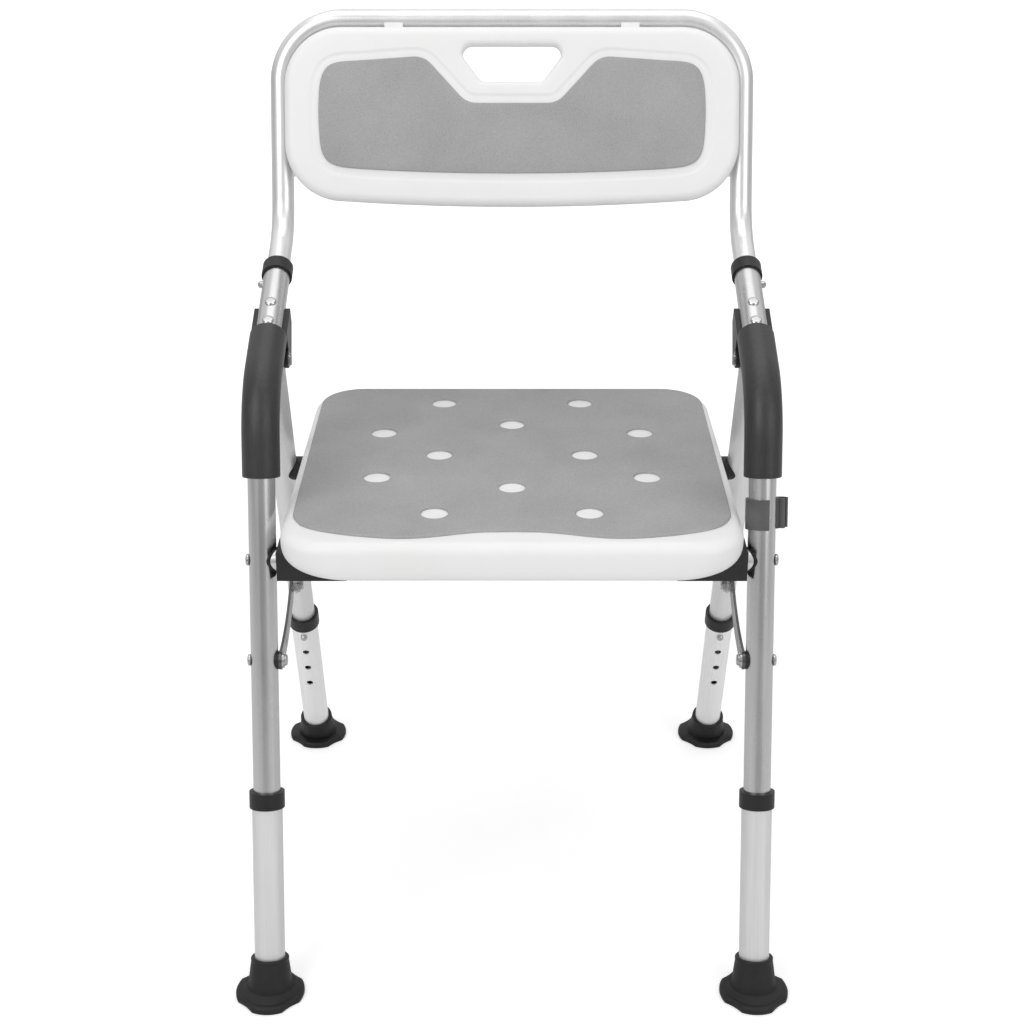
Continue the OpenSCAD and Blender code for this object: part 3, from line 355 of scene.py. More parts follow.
def resample(points, step):
    """A closed outline's points, spaced evenly."""
    pts = np.asarray(points, float)
    pts = np.vstack([pts, pts[:1]])
    along = np.concatenate([[0], np.cumsum(np.linalg.norm(np.diff(pts, axis=0), axis=1))])
    count = max(8, int(round(along[-1] / step)))
    at = np.linspace(0, along[-1], count + 1)[:-1]
    return np.column_stack([np.interp(at, along, pts[:, i]) for i in range(pts.shape[1])])


# Points per stretch of a spline
SPLINE_STEPS = 14


def spline(points):
    """Closed smooth curve through the points."""
    p = np.asarray(points, float)
    n = len(p)
    out = []
    for i in range(n):
        p0, p1, p2, p3 = p[i - 1], p[i], p[(i + 1) % n], p[(i + 2) % n]
        for t in np.linspace(0, 1, SPLINE_STEPS, endpoint=False):
            out.append(
                0.5
                * (
                    2 * p1
                    + (p2 - p0) * t
                    + (2 * p0 - 5 * p1 + 4 * p2 - p3) * t * t
                    + (3 * p1 - 3 * p2 + p3 - p0) * t**3
                )
            )
    return np.array(out)


def open_spline(points, guides):
    """Smooth curve from the first point to the last; the guides only steer its ends."""
    return spline(points + guides)[: SPLINE_STEPS * (len(points) - 1) + 1]


def quarter_arc(cx, cy, r, start, steps):
    """Quarter of a circle, anticlockwise from an angle in degrees."""
    angles = [math.radians(start + 90.0 * i / steps) for i in range(steps + 1)]
    return [(cx + r * math.cos(a), cy + r * math.sin(a)) for a in angles]


def rounded(corners, steps=8):
    """Closed outline from (x, y, fillet radius) corners."""
    out = []
    n = len(corners)
    for i in range(n):
        p = np.array(corners[i][:2], float)
        r = corners[i][2]
        a = np.array(corners[i - 1][:2], float) - p
        b = np.array(corners[(i + 1) % n][:2], float) - p
        a /= np.linalg.norm(a)
        b /= np.linalg.norm(b)
        half = math.acos(float(np.clip(a @ b, -1, 1))) / 2
        if r <= 0:
            out.append(p)
            continue
        reach = r / math.tan(half)
        centre = p + (a + b) / np.linalg.norm(a + b) * r / math.sin(half)
        start, end = p + a * reach - centre, p + b * reach - centre
        turn = math.atan2(start[0] * end[1] - start[1] * end[0], float(start @ end))
        for k in range(steps + 1):
            c, s = math.cos(turn * k / steps), math.sin(turn * k / steps)
            spoke = np.array([c * start[0] - s * start[1], s * start[0] + c * start[1]])
            out.append(centre + spoke)
    return np.array(out)


def offset(points, distance):
    """Moves a closed outline outwards (inwards if negative) along its normals."""
    p = np.asarray(points, float)
    after = np.roll(p, -1, axis=0)
    if np.sum(p[:, 0] * after[:, 1] - after[:, 0] * p[:, 1]) < 0:
        distance = -distance
    tangent = after - np.roll(p, 1, axis=0)
    tangent /= np.linalg.norm(tangent, axis=1)[:, None] + 1e-12
    normal = np.column_stack([tangent[:, 1], -tangent[:, 0]])
    return p + normal * distance


def inside(points, outline):
    """Which points lie inside a closed outline."""
    x, y = points[:, 0], points[:, 1]
    hit = np.zeros(len(points), bool)
    for (x0, y0), (x1, y1) in zip(outline, np.roll(outline, -1, axis=0)):
        if y1 != y0:
            hit ^= ((y0 > y) != (y1 > y)) & (x < (x1 - x0) * (y - y0) / (y1 - y0) + x0)
    return hit


def away(points, outline):
    """Distance of each point from a closed outline."""
    best = np.full(len(points), np.inf)
    for p, q in zip(outline, np.roll(outline, -1, axis=0)):
        d = q - p
        t = np.clip(((points - p) @ d) / (d @ d + 1e-12), 0, 1)
        best = np.minimum(best, np.linalg.norm(points - (p + t[:, None] * d), axis=1))
    return best


def signed(points, outline):
    """Distance from a closed outline, negative inside."""
    d = away(points, outline)
    return np.where(inside(points, outline), -d, d)


def fill(outer, holes, grid, contours=()):
    """Points and triangles over a region, with a grid and contours inside it."""
    loops = [np.asarray(outer)] + [np.asarray(h) for h in holes]

    def within(points, margin=0.0):
        keep = inside(points, loops[0]) & (away(points, loops[0]) > margin)
        for hole in loops[1:]:
            keep &= ~inside(points, hole) & (away(points, hole) > margin)
        return keep

    verts, edges = [], []
    for loop in loops:
        base = len(verts)
        verts += [tuple(v) for v in loop]
        edges += [(base + i, base + (i + 1) % len(loop)) for i in range(len(loop))]
    border = np.array(verts)
    lo, hi = border.min(0), border.max(0)
    xs = np.arange(lo[0] + grid / 2, hi[0], grid)
    ys = np.arange(lo[1] + grid / 2, hi[1], grid)
    mesh_x, mesh_y = np.meshgrid(xs, ys)
    mesh_x[::2] += grid * 0.5
    inner = np.column_stack([mesh_x.ravel(), mesh_y.ravel()])
    keep = within(inner, grid * 0.55)
    extra = []
    for contour in contours:
        c = contour[within(contour, grid * 0.3)]
        if len(c):
            extra.append(c)
            gaps = np.linalg.norm(inner[:, None, :] - c[None, :, :], axis=2)
            keep &= np.min(gaps, axis=1) > grid * 0.45
    pts = np.vstack([border, inner[keep]] + extra)
    out = delaunay_2d_cdt([Vector(p) for p in pts], edges, [], 0, 1e-9)
    new = np.array([tuple(v) for v in out[0]])
    faces = [tuple(f) for f in out[2]]
    centres = np.array([new[list(f)].mean(0) for f in faces])
    return new, [f for f, good in zip(faces, within(centres)) if good]


def slab(name, outline, holes, profile, hole_profile, lift, place, material, grid, contours=()):
    """Closed sheet or moulding over an outline, with holes right through it.

    profile and hole_profile are (offset, height) rows from the top's edge to the bottom's edge.
    lift gives the top's extra height at its points; place turns (x, y, height) into metres.
    """
    verts, faces = [], []

    def add(points2, height):
        base = len(verts)
        heights = np.broadcast_to(height, (len(points2),))
        verts.extend((p[0], p[1], h) for p, h in zip(points2, heights))
        return base

    def wall(loop, rows, sign):
        rings = [add(offset(loop, sign * out), height) for out, height in rows]
        faces.extend(stitch(rings, len(loop)))

    wall(outline, profile, 1)
    for hole in holes:
        wall(hole, hole_profile, -1)
    for row, side in ((0, "top"), (-1, "bottom")):
        outer = offset(outline, profile[row][0])
        inner = [offset(h, -hole_profile[row][0]) for h in holes]
        points2, tris = fill(outer, inner, grid, contours if side == "top" else ())
        height = np.full(len(points2), float(profile[row][1]))
        if side == "top" and lift is not None:
            height = height + lift(points2)
        base = add(points2, height)
        faces.extend(tuple(base + i for i in t) for t in tris)
    return make(name, [place(*v) for v in verts], faces, material)


def quarter(radius, height_from, steps):
    """Rows of a rounded edge: from the flat, out by the radius and down by it."""
    rows = []
    for k in range(steps + 1):
        a = math.pi / 2 * k / steps
        rows.append((-radius + radius * math.sin(a), height_from - radius * (1 - math.cos(a))))
    return rows


# ---------------------------------------------------------------- seat

seat_lo, seat_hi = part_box("seat_shell")
SEAT_TOP, SEAT_LOW = seat_hi.z / MM, seat_lo.z / MM
SEAT_FRONT, SEAT_REAR = seat_lo.y / MM, seat_hi.y / MM
SEAT_HALF = seat_hi.x / MM
# How much narrower each side is at the rear, so that the folded seat clears the hinge pins
REAR_TAPER = 2.5
CORNER_R, CORNER_STEPS, EDGE_STEPS = 46.0, 20, 26
# Rounding of the top's edge
TOP_EDGE_R, TOP_EDGE_STEPS = 11.0, 8
# How far the sides and the ends draw in below, and the power of the curve by which they do:
# 2 is an ellipse, and more is squarer
SIDE_UNDER, END_UNDER = 38.0, 9.0
UNDER_POWER, UNDER_STEPS = 3.2, 20


def seat_ring(in_side, in_end, z):
    """One level of the seat shell, drawn in from its widest outline."""
    arcs = []
    for sx, sy, start in ((-1, -1, 180.0), (1, -1, 270.0), (1, 1, 0.0), (-1, 1, 90.0)):
        half = SEAT_HALF if sy < 0 else SEAT_HALF - REAR_TAPER
        end = SEAT_FRONT + in_end if sy < 0 else SEAT_REAR - in_end
        cx, cy = sx * (half - in_side - CORNER_R), end - sy * CORNER_R
        arcs.append(quarter_arc(cx, cy, CORNER_R, start, CORNER_STEPS))
    ring = []
    for arc, after in zip(arcs, arcs[1:] + arcs[:1]):
        (x0, y0), (x1, y1) = arc[-1], after[0]
        ring += arc
        for i in range(1, EDGE_STEPS):
            ring.append((x0 + (x1 - x0) * i / EDGE_STEPS, y0 + (y1 - y0) * i / EDGE_STEPS))
    return [(x * MM, y * MM, z * MM) for x, y in ring]


def seat_shell():
    rings = [seat_ring(-out, -out, z) for out, z in quarter(TOP_EDGE_R, SEAT_TOP, TOP_EDGE_STEPS)]
    widest = SEAT_TOP - TOP_EDGE_R
    for k in range(1, UNDER_STEPS + 1):
        a = math.pi / 2 * k / UNDER_STEPS
        drawn_in = 1 - math.cos(a) ** (2 / UNDER_POWER)
        down = math.sin(a) ** (2 / UNDER_POWER)
        z = widest - (widest - SEAT_LOW) * down
        rings.append(seat_ring(SIDE_UNDER * drawn_in, END_UNDER * drawn_in, z))
    verts = [v for ring in rings for v in ring]
    n = len(rings[0])
    faces = stitch([r * n for r in range(len(rings))], n)
    faces.append(tuple(range(n)))
    faces.append(tuple(reversed(range(len(verts) - n, len(verts)))))
    return make("seat_moulding", verts, faces, m_white)


def bar_cutter(name, section):
    """A bar across the seat, wider than it, from a section of (y, z) points in metres."""
    n = len(section)
    verts = [(x, y, z) for x in (-CUT_HALF, CUT_HALF) for y, z in section]
    faces = [tuple(range(n)), tuple(reversed(range(n, 2 * n)))]
    faces += [(i, i + n, (i + 1) % n + n, (i + 1) % n) for i in range(n)]
    return make(name, verts, faces, m_white)


def subtract(obj, cutters):
    for c in cutters:
        mod = obj.modifiers.new("cut", "BOOLEAN")
        mod.object = c
        mod.operation = "DIFFERENCE"
        mod.solver = "EXACT"
    dg = bpy.context.evaluated_depsgraph_get()
    dg.update()
    result = bpy.data.meshes.new_from_object(obj.evaluated_get(dg))
    obj.modifiers.clear()
    old = obj.data
    obj.data = result
    bpy.data.meshes.remove(old)
    for c in cutters:
        bpy.data.objects.remove(c)


# A slot for the front cross tube, and a channel that the rear cross tube leaves towards the
# front as the seat lifts, in metres
CUT_HALF, CUT_BELOW = 0.25, 0.04
SLOT_HALF, SLOT_GAP = 0.017, 0.0034
CHANNEL_GAP, CHANNEL_FLARE = 0.003, 0.016
front_bar = [(a + b) / 2 for a, b in zip(*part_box("front_cross_tube"))]
rear_bar_lo, rear_bar_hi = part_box("rear_cross_tube")
rear_bar = [(a + b) / 2 for a, b in zip(rear_bar_lo, rear_bar_hi)]
bar_r = (rear_bar_hi.z - rear_bar_lo.z) / 2
slot_top = front_bar[2] + bar_r + SLOT_GAP
slot_section = [
    (front_bar[1] - SLOT_HALF, front_bar[2] - CUT_BELOW),
    (front_bar[1] - SLOT_HALF, slot_top),
    (front_bar[1] + SLOT_HALF, slot_top),
    (front_bar[1] + SLOT_HALF, front_bar[2] - CUT_BELOW),
]
channel_r = bar_r + CHANNEL_GAP
channel_section = [(channel_r, -CUT_BELOW)]
for a in np.linspace(0, math.pi, 25):
    channel_section.append((channel_r * math.cos(a), channel_r * math.sin(a)))
channel_section.append((-channel_r - CHANNEL_FLARE, -CUT_BELOW))
channel_section = [(rear_bar[1] + y, rear_bar[2] + z) for y, z in channel_section]

shell = seat_shell()
subtract(shell, [bar_cutter("slot_cut", slot_section), bar_cutter("channel_cut", channel_section)])
shell.data.polygons.foreach_set("use_smooth", [True] * len(shell.data.polygons))
smooth_by_angle(shell, 38.0)
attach(shell, "seat")
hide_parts("seat_shell")

# Seat mat: a foam sheet with a wavy front edge and round holes
pad_lo, pad_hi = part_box("seat_pad")
pad_half = pad_hi.x / MM
pad_front, pad_rear = pad_lo.y / MM, pad_hi.y / MM
sheet_low, sheet_top = pad_lo.z / MM, pad_hi.z / MM
# One half of the front edge: half width, and distance behind the mat's foremost points
half_front = [
    (pad_half - 0.2, 62.0),
    (pad_half - 1.0, 47.0),
    (pad_half - 5.0, 36.0),
    (pad_half - 12.0, 25.5),
    (pad_half - 25.0, 17.0),
    (pad_half - 42.0, 10.5),
    (pad_half - 60.0, 5.5),
    (118.0, 1.2),
    (99.0, 0.0),
    (80.0, 1.6),
    (62.0, 5.6),
    (46.0, 9.8),
    (28.0, 13.2),
    (12.0, 14.2),
]
front_edge = [(-x, pad_front + y) for x, y in half_front] + [
    (x, pad_front + y) for x, y in reversed(half_front)
]
edge_guide_y = pad_front + 77.0
edge_curve = open_spline(front_edge, [(pad_half, edge_guide_y), (-pad_half, edge_guide_y)])
PAD_CORNER_R = 43.0
pad_corner_x, pad_corner_y = pad_half - PAD_CORNER_R, pad_rear - PAD_CORNER_R
rear_arcs = quarter_arc(pad_corner_x, pad_corner_y, PAD_CORNER_R, 0.0, 12)
rear_arcs += quarter_arc(-pad_corner_x, pad_corner_y, PAD_CORNER_R, 90.0, 12)
pad_outline = resample(np.vstack([edge_curve, np.array(rear_arcs)]), 5.0)
HOLE_R, HOLE_STEPS = 12.75, 40
# Half distance apart, and distance behind the front feet
hole_spots = [(72, 418), (0, 357), (130.5, 334), (72, 276), (130, 220), (0, 196), (71.5, 137)]
pad_holes = []
for hx, hy in hole_spots:
    for side in (-1, 1) if hx else (1,):
        turns = [2 * math.pi * i / HOLE_STEPS for i in range(HOLE_STEPS)]
        ring = [
            (side * hx + HOLE_R * math.cos(a), hy - Y_MID + HOLE_R * math.sin(a)) for a in turns
        ]
        pad_holes.append(np.array(ring))
edge_rows = [
    (-1.6, sheet_top),
    (-0.9, sheet_top - 0.12),
    (-0.35, sheet_top - 0.5),
    (-0.05, sheet_top - 1.1),
    (0.0, sheet_top - 1.7),
    (-0.1, sheet_low + 0.2),
]
seat_mat = slab(
    "seat_foam_mat",
    pad_outline,
    pad_holes,
    edge_rows,
    edge_rows,
    None,
    lambda x, y, z: (x * MM, y * MM, z * MM),
    m_mat,
    grid=9.0,
)
smooth_by_angle(seat_mat, 50.0)
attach(seat_mat, "seat")
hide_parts("seat_pad")

# ---------------------------------------------------------------- back rest

# The corner where the straight lines of the arms and of the back tube's uprights would meet
JOINT_Y, JOINT_Z = 397.04 - Y_MID, 637.04


def on_back(x, up, depth):
    """A place on the back rest: across, up the back and forward of the tube's middle plane."""
    y = JOINT_Y + up * math.sin(BACK_LEAN) - depth * math.cos(BACK_LEAN)
    z = JOINT_Z + up * math.cos(BACK_LEAN) + depth * math.sin(BACK_LEAN)
    return (x * MM, y * MM, z * MM)


PANEL_HALF, PANEL_LOW, PANEL_HIGH = 225.5, 20.4, 196.0
PANEL_REAR, PANEL_FRONT = 3.5, 23.5
PANEL_CORNER_R = 57.0
# How far the middle of the lower edge hangs below its corners
PANEL_BOW = 5.6
# Depth at which the panel steps in to nest inside the tube
NEST = 11.6


def panel_outline():
    """Rounded panel whose lower edge bows down in the middle."""
    r = PANEL_CORNER_R
    side, low, high = PANEL_HALF - r, PANEL_LOW + PANEL_BOW + r, PANEL_HIGH - r
    pts = []
    for cx, cy, start in (
        (side, low, 270.0),
        (side, high, 0.0),
        (-side, high, 90.0),
        (-side, low, 180.0),
    ):
        pts += quarter_arc(cx, cy, r, start, 18)
    for i in range(1, 24):
        x = -side * (1 - i / 12)
        pts.append((x, PANEL_LOW + PANEL_BOW * (x / side) ** 2))
    return resample(np.array(pts), 4.0)


hole_outline = resample(
    rounded([(-30.5, 142.6, 8.0), (30.5, 142.6, 8.0), (57.0, 178.0, 8.5), (-57.0, 178.0, 8.5)]),
    3.0,
)
# Mat on the back: a notch below the hand hole, full corners and a bowed lower edge
notch = rounded(
    [
        (150.0, 162.6, 0.0),
        (87.0, 167.0, 22.0),
        (44.8, 121.5, 22.0),
        (-44.8, 121.5, 22.0),
        (-87.0, 167.0, 22.0),
        (-150.0, 162.6, 0.0),
        (-150.0, 60.0, 0.0),
        (150.0, 60.0, 0.0),
    ]
)[:-2]
mat_side = [
    (150.0, 162.6),
    (162.0, 162.0),
    (170.0, 161.2),
    (176.6, 159.6),
    (182.5, 156.0),
    (187.0, 149.2),
    (189.5, 139.9),
    (190.8, 126.4),
    (191.2, 111.9),
    (190.8, 96.3),
    (189.6, 81.0),
    (187.0, 71.2),
    (181.4, 64.0),
    (172.0, 59.8),
    (160.0, 58.1),
]
# Lowest height of the mat's lower edge, and how much it rises this far from the middle
MAT_LOWEST, MAT_BOW, MAT_BOW_X = 52.9, 5.6, 171.7
mat_low_edge = [
    (x, MAT_LOWEST + MAT_BOW * (x / MAT_BOW_X) ** 2) for x in (140.0, 110.0, 75.0, 40.0, 0.0)
]
mat_points = mat_side + mat_low_edge + [(-x, y) for x, y in reversed(mat_side + mat_low_edge[:-1])]
mat_curve = open_spline(mat_points, [(-100.0, 166.0), (100.0, 166.0)])
mat_outline = resample(np.vstack([mat_curve, notch[::-1][1:-1]]), 3.5)
# The recess that the mat lies in: how far it reaches past the mat, its depth and its step's width
RECESS_REACH, RECESS_DEPTH, RECESS_STEP = 8.0, 1.0, 3.0
recess_line = offset(mat_outline, RECESS_REACH)
# Lines of points that carry the step, outwards from the mat's edge
step_lines = [offset(mat_outline, w) for w in (5.5, 6.5, 7.3, 8.0, 8.7, 9.5, 11.0)]


def panel_relief(points2):
    """A shallow recess around the mat, with a soft step."""
    d = signed(points2, recess_line)
    step = np.clip((RECESS_STEP / 2 - d) / RECESS_STEP, 0.0, 1.0)
    step = step * step * (3 - 2 * step)
    return -RECESS_DEPTH * step


PANEL_EDGE_R, HAND_EDGE_R = 9.0, 5.0
panel_rows = quarter(PANEL_EDGE_R, PANEL_FRONT, 8) + [
    (0.0, NEST + 1.5),
    (-0.45, NEST + 0.4),
    (-1.5, NEST),
    (-6.2, NEST),
    (-7.1, NEST - 0.7),
    (-7.4, NEST - 2.0),
    (-7.4, PANEL_REAR + 1.6),
    (-8.0, PANEL_REAR + 0.5),
    (-9.2, PANEL_REAR),
]
hand_rows = quarter(HAND_EDGE_R, PANEL_FRONT, 6) + [
    (0.0, PANEL_REAR + 2.0),
    (-0.6, PANEL_REAR + 0.6),
    (-2.0, PANEL_REAR),
]
panel = slab(
    "back_moulding",
    panel_outline(),
    [hole_outline],
    panel_rows,
    hand_rows,
    panel_relief,
    on_back,
    m_white,
    grid=6.0,
    contours=step_lines,
)
smooth_by_angle(panel, 60.0)
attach(panel, "back_rest")
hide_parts("back_panel")

# The mat's underside, just above the recess's floor
mat_low = PANEL_FRONT - 0.95
mat_rows = [
    (-1.5, mat_low + 2.3),
    (-0.8, mat_low + 2.15),
    (-0.3, mat_low + 1.8),
    (0.0, mat_low + 1.2),
    (0.0, mat_low + 0.6),
    (-0.1, mat_low),
]
back_mat = slab(
    "back_foam_mat",
    mat_outline,
    [],
    mat_rows,
    mat_rows,
    None,
    on_back,
    m_mat,
    grid=9.0,
)
smooth_by_angle(back_mat, 50.0)
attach(back_mat, "back_rest")
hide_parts("back_pad")

# ---------------------------------------------------------------- arm grips

# The corner where the straight lines of a leg and its arm would meet
CORNER_Z = 543.8
CORNER_ALONG = CORNER_Z / math.cos(LEG_LEAN)
BEND_R = 80.0
TURN = math.pi / 2 - LEG_LEAN - ARM_RISE
TANGENT = BEND_R * math.tan(TURN / 2)
# The grip's ends, along the leg from the floor and along the arm from the corner
GRIP_START, GRIP_END = CORNER_ALONG - 73.7, 85.5
GRIP_STEP = 2.0


def grip_line():
    """The bent arm's centre line from end to end: points, headings, and 0 to 1 in the bend."""
    up = np.array([math.sin(LEG_LEAN), math.cos(LEG_LEAN)])
    back = np.array([math.cos(ARM_RISE), math.sin(ARM_RISE)])
    corner = up * CORNER_ALONG
    rows = []
    for s in np.arange(GRIP_START, CORNER_ALONG - TANGENT, GRIP_STEP):
        rows.append((up * s, up, 0.0))
    first = corner - up * TANGENT
    centre = first + np.array([up[1], -up[0]]) * BEND_R
    n = int(BEND_R * TURN / GRIP_STEP)
    for i in range(n + 1):
        c, s = math.cos(TURN * i / n), math.sin(TURN * i / n)
        turn = np.array([[c, s], [-s, c]])
        rows.append((centre + turn @ (first - centre), turn @ up, math.sin(math.pi * i / n)))
    for s in np.arange(TANGENT + GRIP_STEP, GRIP_END + 0.01, GRIP_STEP):
        rows.append((corner + back * s, back, 0.0))
    return rows


def arm_grip(side, node):
    lo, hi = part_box(node)
    centre_x = (lo.x + hi.x) / 2 / MM
    radius = (hi.x - lo.x) / 2 / MM
    rows = grip_line()
    # Rounded ends: distance from the end, and change of radius
    bore_edge = 0.4
    rounds = [(0.0, -1.7), (0.25, -0.75), (0.7, -0.25), (1.3, -0.04)]
    crease_depth, crease_pitch = 0.32, 0.62
    around = 72
    verts = []

    def ring(point, heading, r, bent=0.0):
        right = np.array([heading[1], -heading[0]])
        base = len(verts)
        for k in range(around):
            a = 2 * math.pi * k / around
            depth = crease_depth * max(0.0, math.sin(a)) * bent
            rr = r + depth * math.sin((point[0] + point[1]) * crease_pitch)
            y, z = point + right * rr * math.sin(a)
            verts.append(((centre_x + rr * math.cos(a)) * MM, (y - Y_MID) * MM, z * MM))
        return base

    def end_rings(point, heading, inwards):
        """From inside the bore, round the end and out to the grip's full size."""
        found = [ring(point + heading * inwards, heading, LEG_R)]
        found.append(ring(point, heading, LEG_R + bore_edge))
        for along, change in rounds:
            found.append(ring(point + heading * inwards * along, heading, radius + change))
        return found

    rings = end_rings(*rows[0][:2], 1)
    rings += [ring(point, heading, radius, bent) for point, heading, bent in rows[1:-1]]
    rings += reversed(end_rings(*rows[-1][:2], -1))
    grip = make(side + "_foam_grip", verts, stitch(rings, around, closed=True), m_grip)
    smooth_by_angle(grip, 55.0)
    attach(grip, "front_frame")
    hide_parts(node)


arm_grip("left", "left_arm_grip")
arm_grip("right", "right_arm_grip")

# ---------------------------------------------------------------- cross tube saddles

# A washer's outer radius, thickness, bore and rounded edge, and the bore of its sleeve
SADDLE_R, SADDLE_T, SADDLE_BORE_R, SADDLE_EDGE = 12.0, 1.1, 3.1, 0.25
SLEEVE_BORE_R = 11.2


def cross_saddles(name, node, body, lean, sleeve=0.0):
    """Curved washers between the legs and the coped ends of a cross tube.

    A washer may carry a sleeve of this length over the tube's end.
    """
    lo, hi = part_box(node)
    leg_x = hi.x / MM
    cy, cz = (lo.y + hi.y) / 2 / MM, (lo.z + hi.z) / 2 / MM
    around = 72
    verts, faces = [], []

    def ring(side, r, reach, flat=False):
        base = len(verts)
        for k in range(around):
            a = 2 * math.pi * k / around
            y, z = r * math.cos(a), r * math.sin(a)
            across = 0.0 if flat else y * math.cos(lean) - z * math.sin(lean)
            x = leg_x - math.sqrt(reach**2 - across**2)
            verts.append((side * x * MM, (cy + y) * MM, (cz + z) * MM))
        return base

    face = LEG_R + SADDLE_T
    end = face + sleeve
    radii = [SADDLE_BORE_R, 6.0, 9.0, SADDLE_R - SADDLE_EDGE]
    for side in (-1, 1):
        rings = [ring(side, r, LEG_R) for r in radii]
        rings.append(ring(side, SADDLE_R, LEG_R + SADDLE_EDGE))
        if sleeve:
            rings.append(ring(side, SADDLE_R, end - SADDLE_EDGE, True))
            rings.append(ring(side, SADDLE_R - SADDLE_EDGE, end, True))
            rings.append(ring(side, SLEEVE_BORE_R, end, True))
            rings.append(ring(side, SLEEVE_BORE_R, face))
        else:
            rings.append(ring(side, SADDLE_R, face - SADDLE_EDGE))
            rings.append(ring(side, SADDLE_R - SADDLE_EDGE, face))
        rings += [ring(side, r, face) for r in reversed(radii[:-1])]
        faces += stitch(rings, around, closed=True)
    washers = make(name, verts, faces, m_plastic)
    smooth_by_angle(washers, 50.0)
    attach(washers, body)
    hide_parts(node)


cross_saddles("front_saddle_washers", "front_cross_saddles", "front_frame", LEG_LEAN)
cross_saddles("rear_saddle_washers", "rear_cross_saddles", "rear_frame", REAR_LEAN, 8.0)

# ---------------------------------------------------------------- feet

FLANGE_TOP = 7.6
# The hollows between the flange's lobes: their depth, and half their width along the edge
LOBE_DEPTH, LOBE_HALF = 2.8, 10.5
# Rings of the boot: radius, distance along the leg, and how far the ring follows the leg's lean
BOOT = [
    (22.0, 10.2, 0.35),
    (21.2, 12.0, 0.85),
    (20.8, 13.5, 1.0),
    (20.3, 15.5, 1.0),
    (19.9, 19.0, 1.0),
    (19.3, 24.0, 1.0),
    (18.6, 29.0, 1.0),
    (18.0, 33.0, 1.0),
    (17.8, 34.2, 1.0),
    (18.1, 34.9, 1.0),
    (18.1, 36.2, 1.0),
    (17.6, 37.0, 1.0),
    (16.9, 37.4, 1.0),
    (15.4, 37.4, 1.0),
    (14.6, 36.9, 1.0),
    (14.45, 35.8, 1.0),
    (14.45, 24.0, 1.0),
    (2.0, 24.0, 1.0),
]
# Height at which a ring that doesn't follow the lean lies
BOOT_BASE = 8.4


def rubber_foot(name, node, body, lean):
    """Flange with four lobes that lies flat, and a boot that leans with its leg."""
    lo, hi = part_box(node)
    cx = (lo.x + hi.x) / 2 / MM
    flange_r = (hi.x - lo.x) / 2 / MM
    cy = (lo.y / MM + flange_r) if lean > 0 else (hi.y / MM - flange_r)
    around = 96
    verts = []

    def lobes(a):
        """How far the flange's edge draws in at this angle: most between the lobes."""
        d = (a / (math.pi / 2) - 0.5) % 1.0
        near = min(d, 1.0 - d) * math.pi / 2 * flange_r
        return LOBE_DEPTH * max(0.0, 1.0 - (near / LOBE_HALF) ** 2)

    def flat_ring(r, z, share):
        base = len(verts)
        for k in range(around):
            a = 2 * math.pi * k / around
            rr = r - share * lobes(a)
            verts.append(((cx + rr * math.cos(a)) * MM, (cy + rr * math.sin(a)) * MM, z * MM))
        return base

    def boot_ring(r, along, follow):
        base = len(verts)
        c, s = math.cos(lean), math.sin(lean)
        for k in range(around):
            a = 2 * math.pi * k / around
            u, v = r * math.cos(a), r * math.sin(a)
            y = v * c + along * s
            z = BOOT_BASE + (along * c - v * s - BOOT_BASE) * follow
            verts.append(((cx + u) * MM, (cy + y) * MM, max(z, FLANGE_TOP) * MM))
        return base

    # Flange rings: radius, height, and share of the lobes
    flange = [
        (2.0, 0.6, 0.0),
        (flange_r * 0.55, 0.6, 0.0),
        (flange_r * 0.60, 0.0, 0.2),
        (flange_r - 1.6, 0.0, 1.0),
        (flange_r - 0.5, 0.5, 1.0),
        (flange_r, 1.8, 1.0),
        (flange_r, 4.6, 1.0),
        (flange_r - 0.7, 6.2, 1.0),
        (flange_r - 2.4, 7.0, 1.0),
        (flange_r - 6.0, 7.3, 0.7),
        (27.5, FLANGE_TOP, 0.3),
        (24.6, 8.2, 0.0),
    ]
    rings = [flat_ring(*row) for row in flange] + [boot_ring(*row) for row in BOOT]
    faces = stitch(rings, around)
    faces.append(tuple(reversed(range(around))))
    faces.append(tuple(rings[-1] + k for k in range(around)))
    foot = make(name, verts, faces, m_rubber)
    smooth_by_angle(foot, 48.0)
    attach(foot, body)
    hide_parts(node)


for end, lean in (("front", LEG_LEAN), ("rear", REAR_LEAN)):
    for side in ("left", "right"):
        where = end + "_" + side
        rubber_foot(where + "_rubber_foot", where + "_foot", where + "_leg_end", lean)

# ---------------------------------------------------------------- stage and light


def seen_directly(tree, mirrored=1.0):
    """1 for rays that look at the surroundings, a share of it for those that reflect them."""
    path = tree.add("ShaderNodeLightPath")
    total = path.outputs["Is Camera Ray"]
    for other in ("Is Glossy Ray", "Is Transmission Ray"):
        total = tree.math("MAXIMUM", total, tree.math("MULTIPLY", path.outputs[other], mirrored))
    return total


WHITE = (1.0, 1.0, 1.0, 1.0)
FLOOR_HALF = 30.0
floor_mesh = bpy.data.meshes.new("floor")
floor_corners = [(-1, -1), (1, -1), (1, 1), (-1, 1)]
floor_mesh.from_pydata(
    [(x * FLOOR_HALF, y * FLOOR_HALF, 0.0) for x, y in floor_corners], [], [(0, 1, 2, 3)]
)
floor = bpy.data.objects.new("floor", floor_mesh)
bpy.context.scene.collection.objects.link(floor)
floor_material = bpy.data.materials.new("pale_floor")
tree = Tree(floor_material, empty=True)
diffuse = tree.add("ShaderNodeBsdfDiffuse", Color=(0.80, 0.80, 0.80, 1.0))
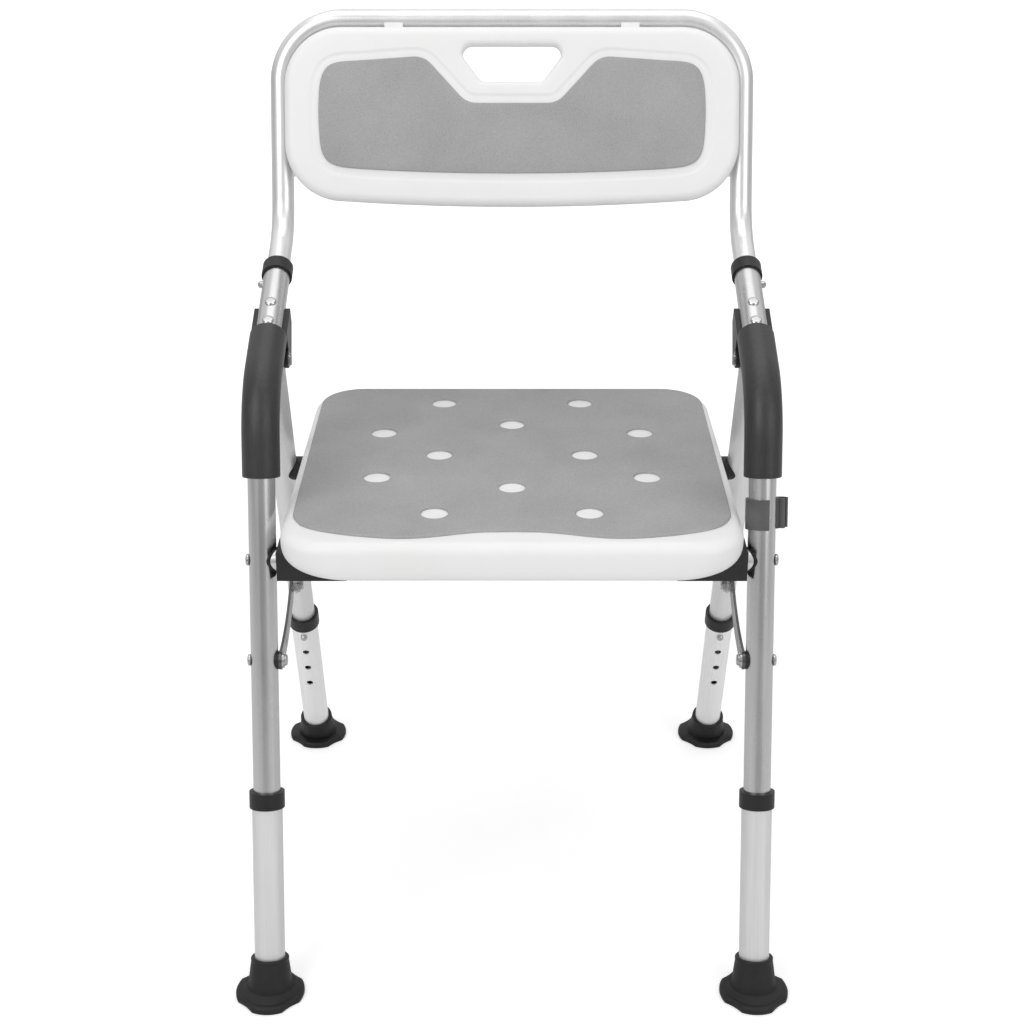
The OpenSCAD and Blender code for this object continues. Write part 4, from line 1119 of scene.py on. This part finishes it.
# The glow grows away from the chair, where less lamp light reaches the floor
on_floor = tree.add("ShaderNodeTexCoord")
radius_out = tree.add("ShaderNodeVectorMath", operation="LENGTH")
tree.link(on_floor.outputs["Object"], radius_out.inputs[0])
glow_by_radius = tree.span(radius_out.outputs["Value"], 0.45, 0.85, 0.7, 3.0)
glow = tree.add("ShaderNodeEmission", Color=WHITE)
tree.link(tree.math("MULTIPLY", seen_directly(tree, 0.25), glow_by_radius), glow.inputs["Strength"])
both = tree.add("ShaderNodeAddShader")
out = tree.add("ShaderNodeOutputMaterial")
tree.link(diffuse.outputs["BSDF"], both.inputs[0])
tree.link(glow.outputs["Emission"], both.inputs[1])
tree.link(both.outputs["Shader"], out.inputs["Surface"])
floor_mesh.materials.append(floor_material)

world = bpy.data.worlds.new("studio")
bpy.context.scene.world = world
tree = Tree(world, empty=True)
coords = tree.add("ShaderNodeTexCoord")
split = tree.add("ShaderNodeSeparateXYZ")
tree.link(coords.outputs["Generated"], split.inputs["Vector"])
bearing = tree.math("ARCTAN2", split.outputs["X"], split.outputs["Y"])
# Studio panels and the gaps between them, once around the object
panels = [
    (0.000, 0.62),
    (0.035, 0.58),
    (0.085, 1.00),
    (0.160, 0.95),
    (0.230, 0.55),
    (0.330, 0.85),
    (0.430, 1.00),
    (0.500, 0.90),
    (0.570, 1.00),
    (0.670, 0.85),
    (0.770, 0.60),
    (0.850, 0.95),
    (0.905, 1.00),
    (0.955, 0.66),
    (1.000, 0.62),
]
bands = tree.ramp(
    tree.span(bearing, 0.0, 1.0, -math.pi, math.pi),
    [(at, grey(value)) for at, value in panels],
    "EASE",
)
# The studio is dimmer near the horizon than overhead
dimmed = tree.add("ShaderNodeVectorMath", operation="SCALE")
tree.link(bands, dimmed.inputs[0])
tree.link(tree.span(split.outputs["Z"], 0.50, 1.0, 0.08, 0.40), dimmed.inputs["Scale"])
# Mirrors see the panels, other surfaces are lit by a plain grey, and the camera sees white
reflected = tree.add("ShaderNodeBackground", Strength=1.0)
tree.link(dimmed.outputs["Vector"], reflected.inputs["Color"])
plain = tree.add("ShaderNodeBackground", Color=WHITE, Strength=0.50)
white = tree.add("ShaderNodeBackground", Color=WHITE, Strength=1.0)
lit = tree.mix(
    plain.outputs["Background"], seen_directly(tree), reflected.outputs["Background"]
)
path = tree.add("ShaderNodeLightPath")
seen = tree.mix(lit, path.outputs["Is Camera Ray"], white.outputs["Background"])
world_out = tree.add("ShaderNodeOutputWorld")
tree.link(seen, world_out.inputs["Surface"])


def softbox(name, place, aim, width, height, power, mirrored=True):
    data = bpy.data.lights.new(name, "AREA")
    data.shape = "RECTANGLE"
    data.size = width
    data.size_y = height
    data.energy = power
    obj = bpy.data.objects.new(name, data)
    obj.location = place
    direction = Vector(aim) - Vector(place)
    obj.rotation_euler = direction.to_track_quat("-Z", "Y").to_euler()
    obj.visible_glossy = mirrored
    bpy.context.scene.collection.objects.link(obj)


softbox("key_panel", (-1.5, -1.9, 2.3), (0.0, 0.0, 0.5), 1.6, 1.6, 22.0)
softbox("fill_panel", (1.8, -1.7, 1.6), (0.0, 0.0, 0.45), 1.4, 1.8, 12.0)
softbox("top_panel", (0.0, 0.3, 2.9), (0.0, 0.05, 0.4), 2.4, 2.0, 18.0)
softbox("front_panel", (0.0, -2.7, 0.75), (0.0, 0.0, 0.42), 2.6, 1.1, 5.0, False)

bpy.context.scene.view_settings.view_transform = "Standard"
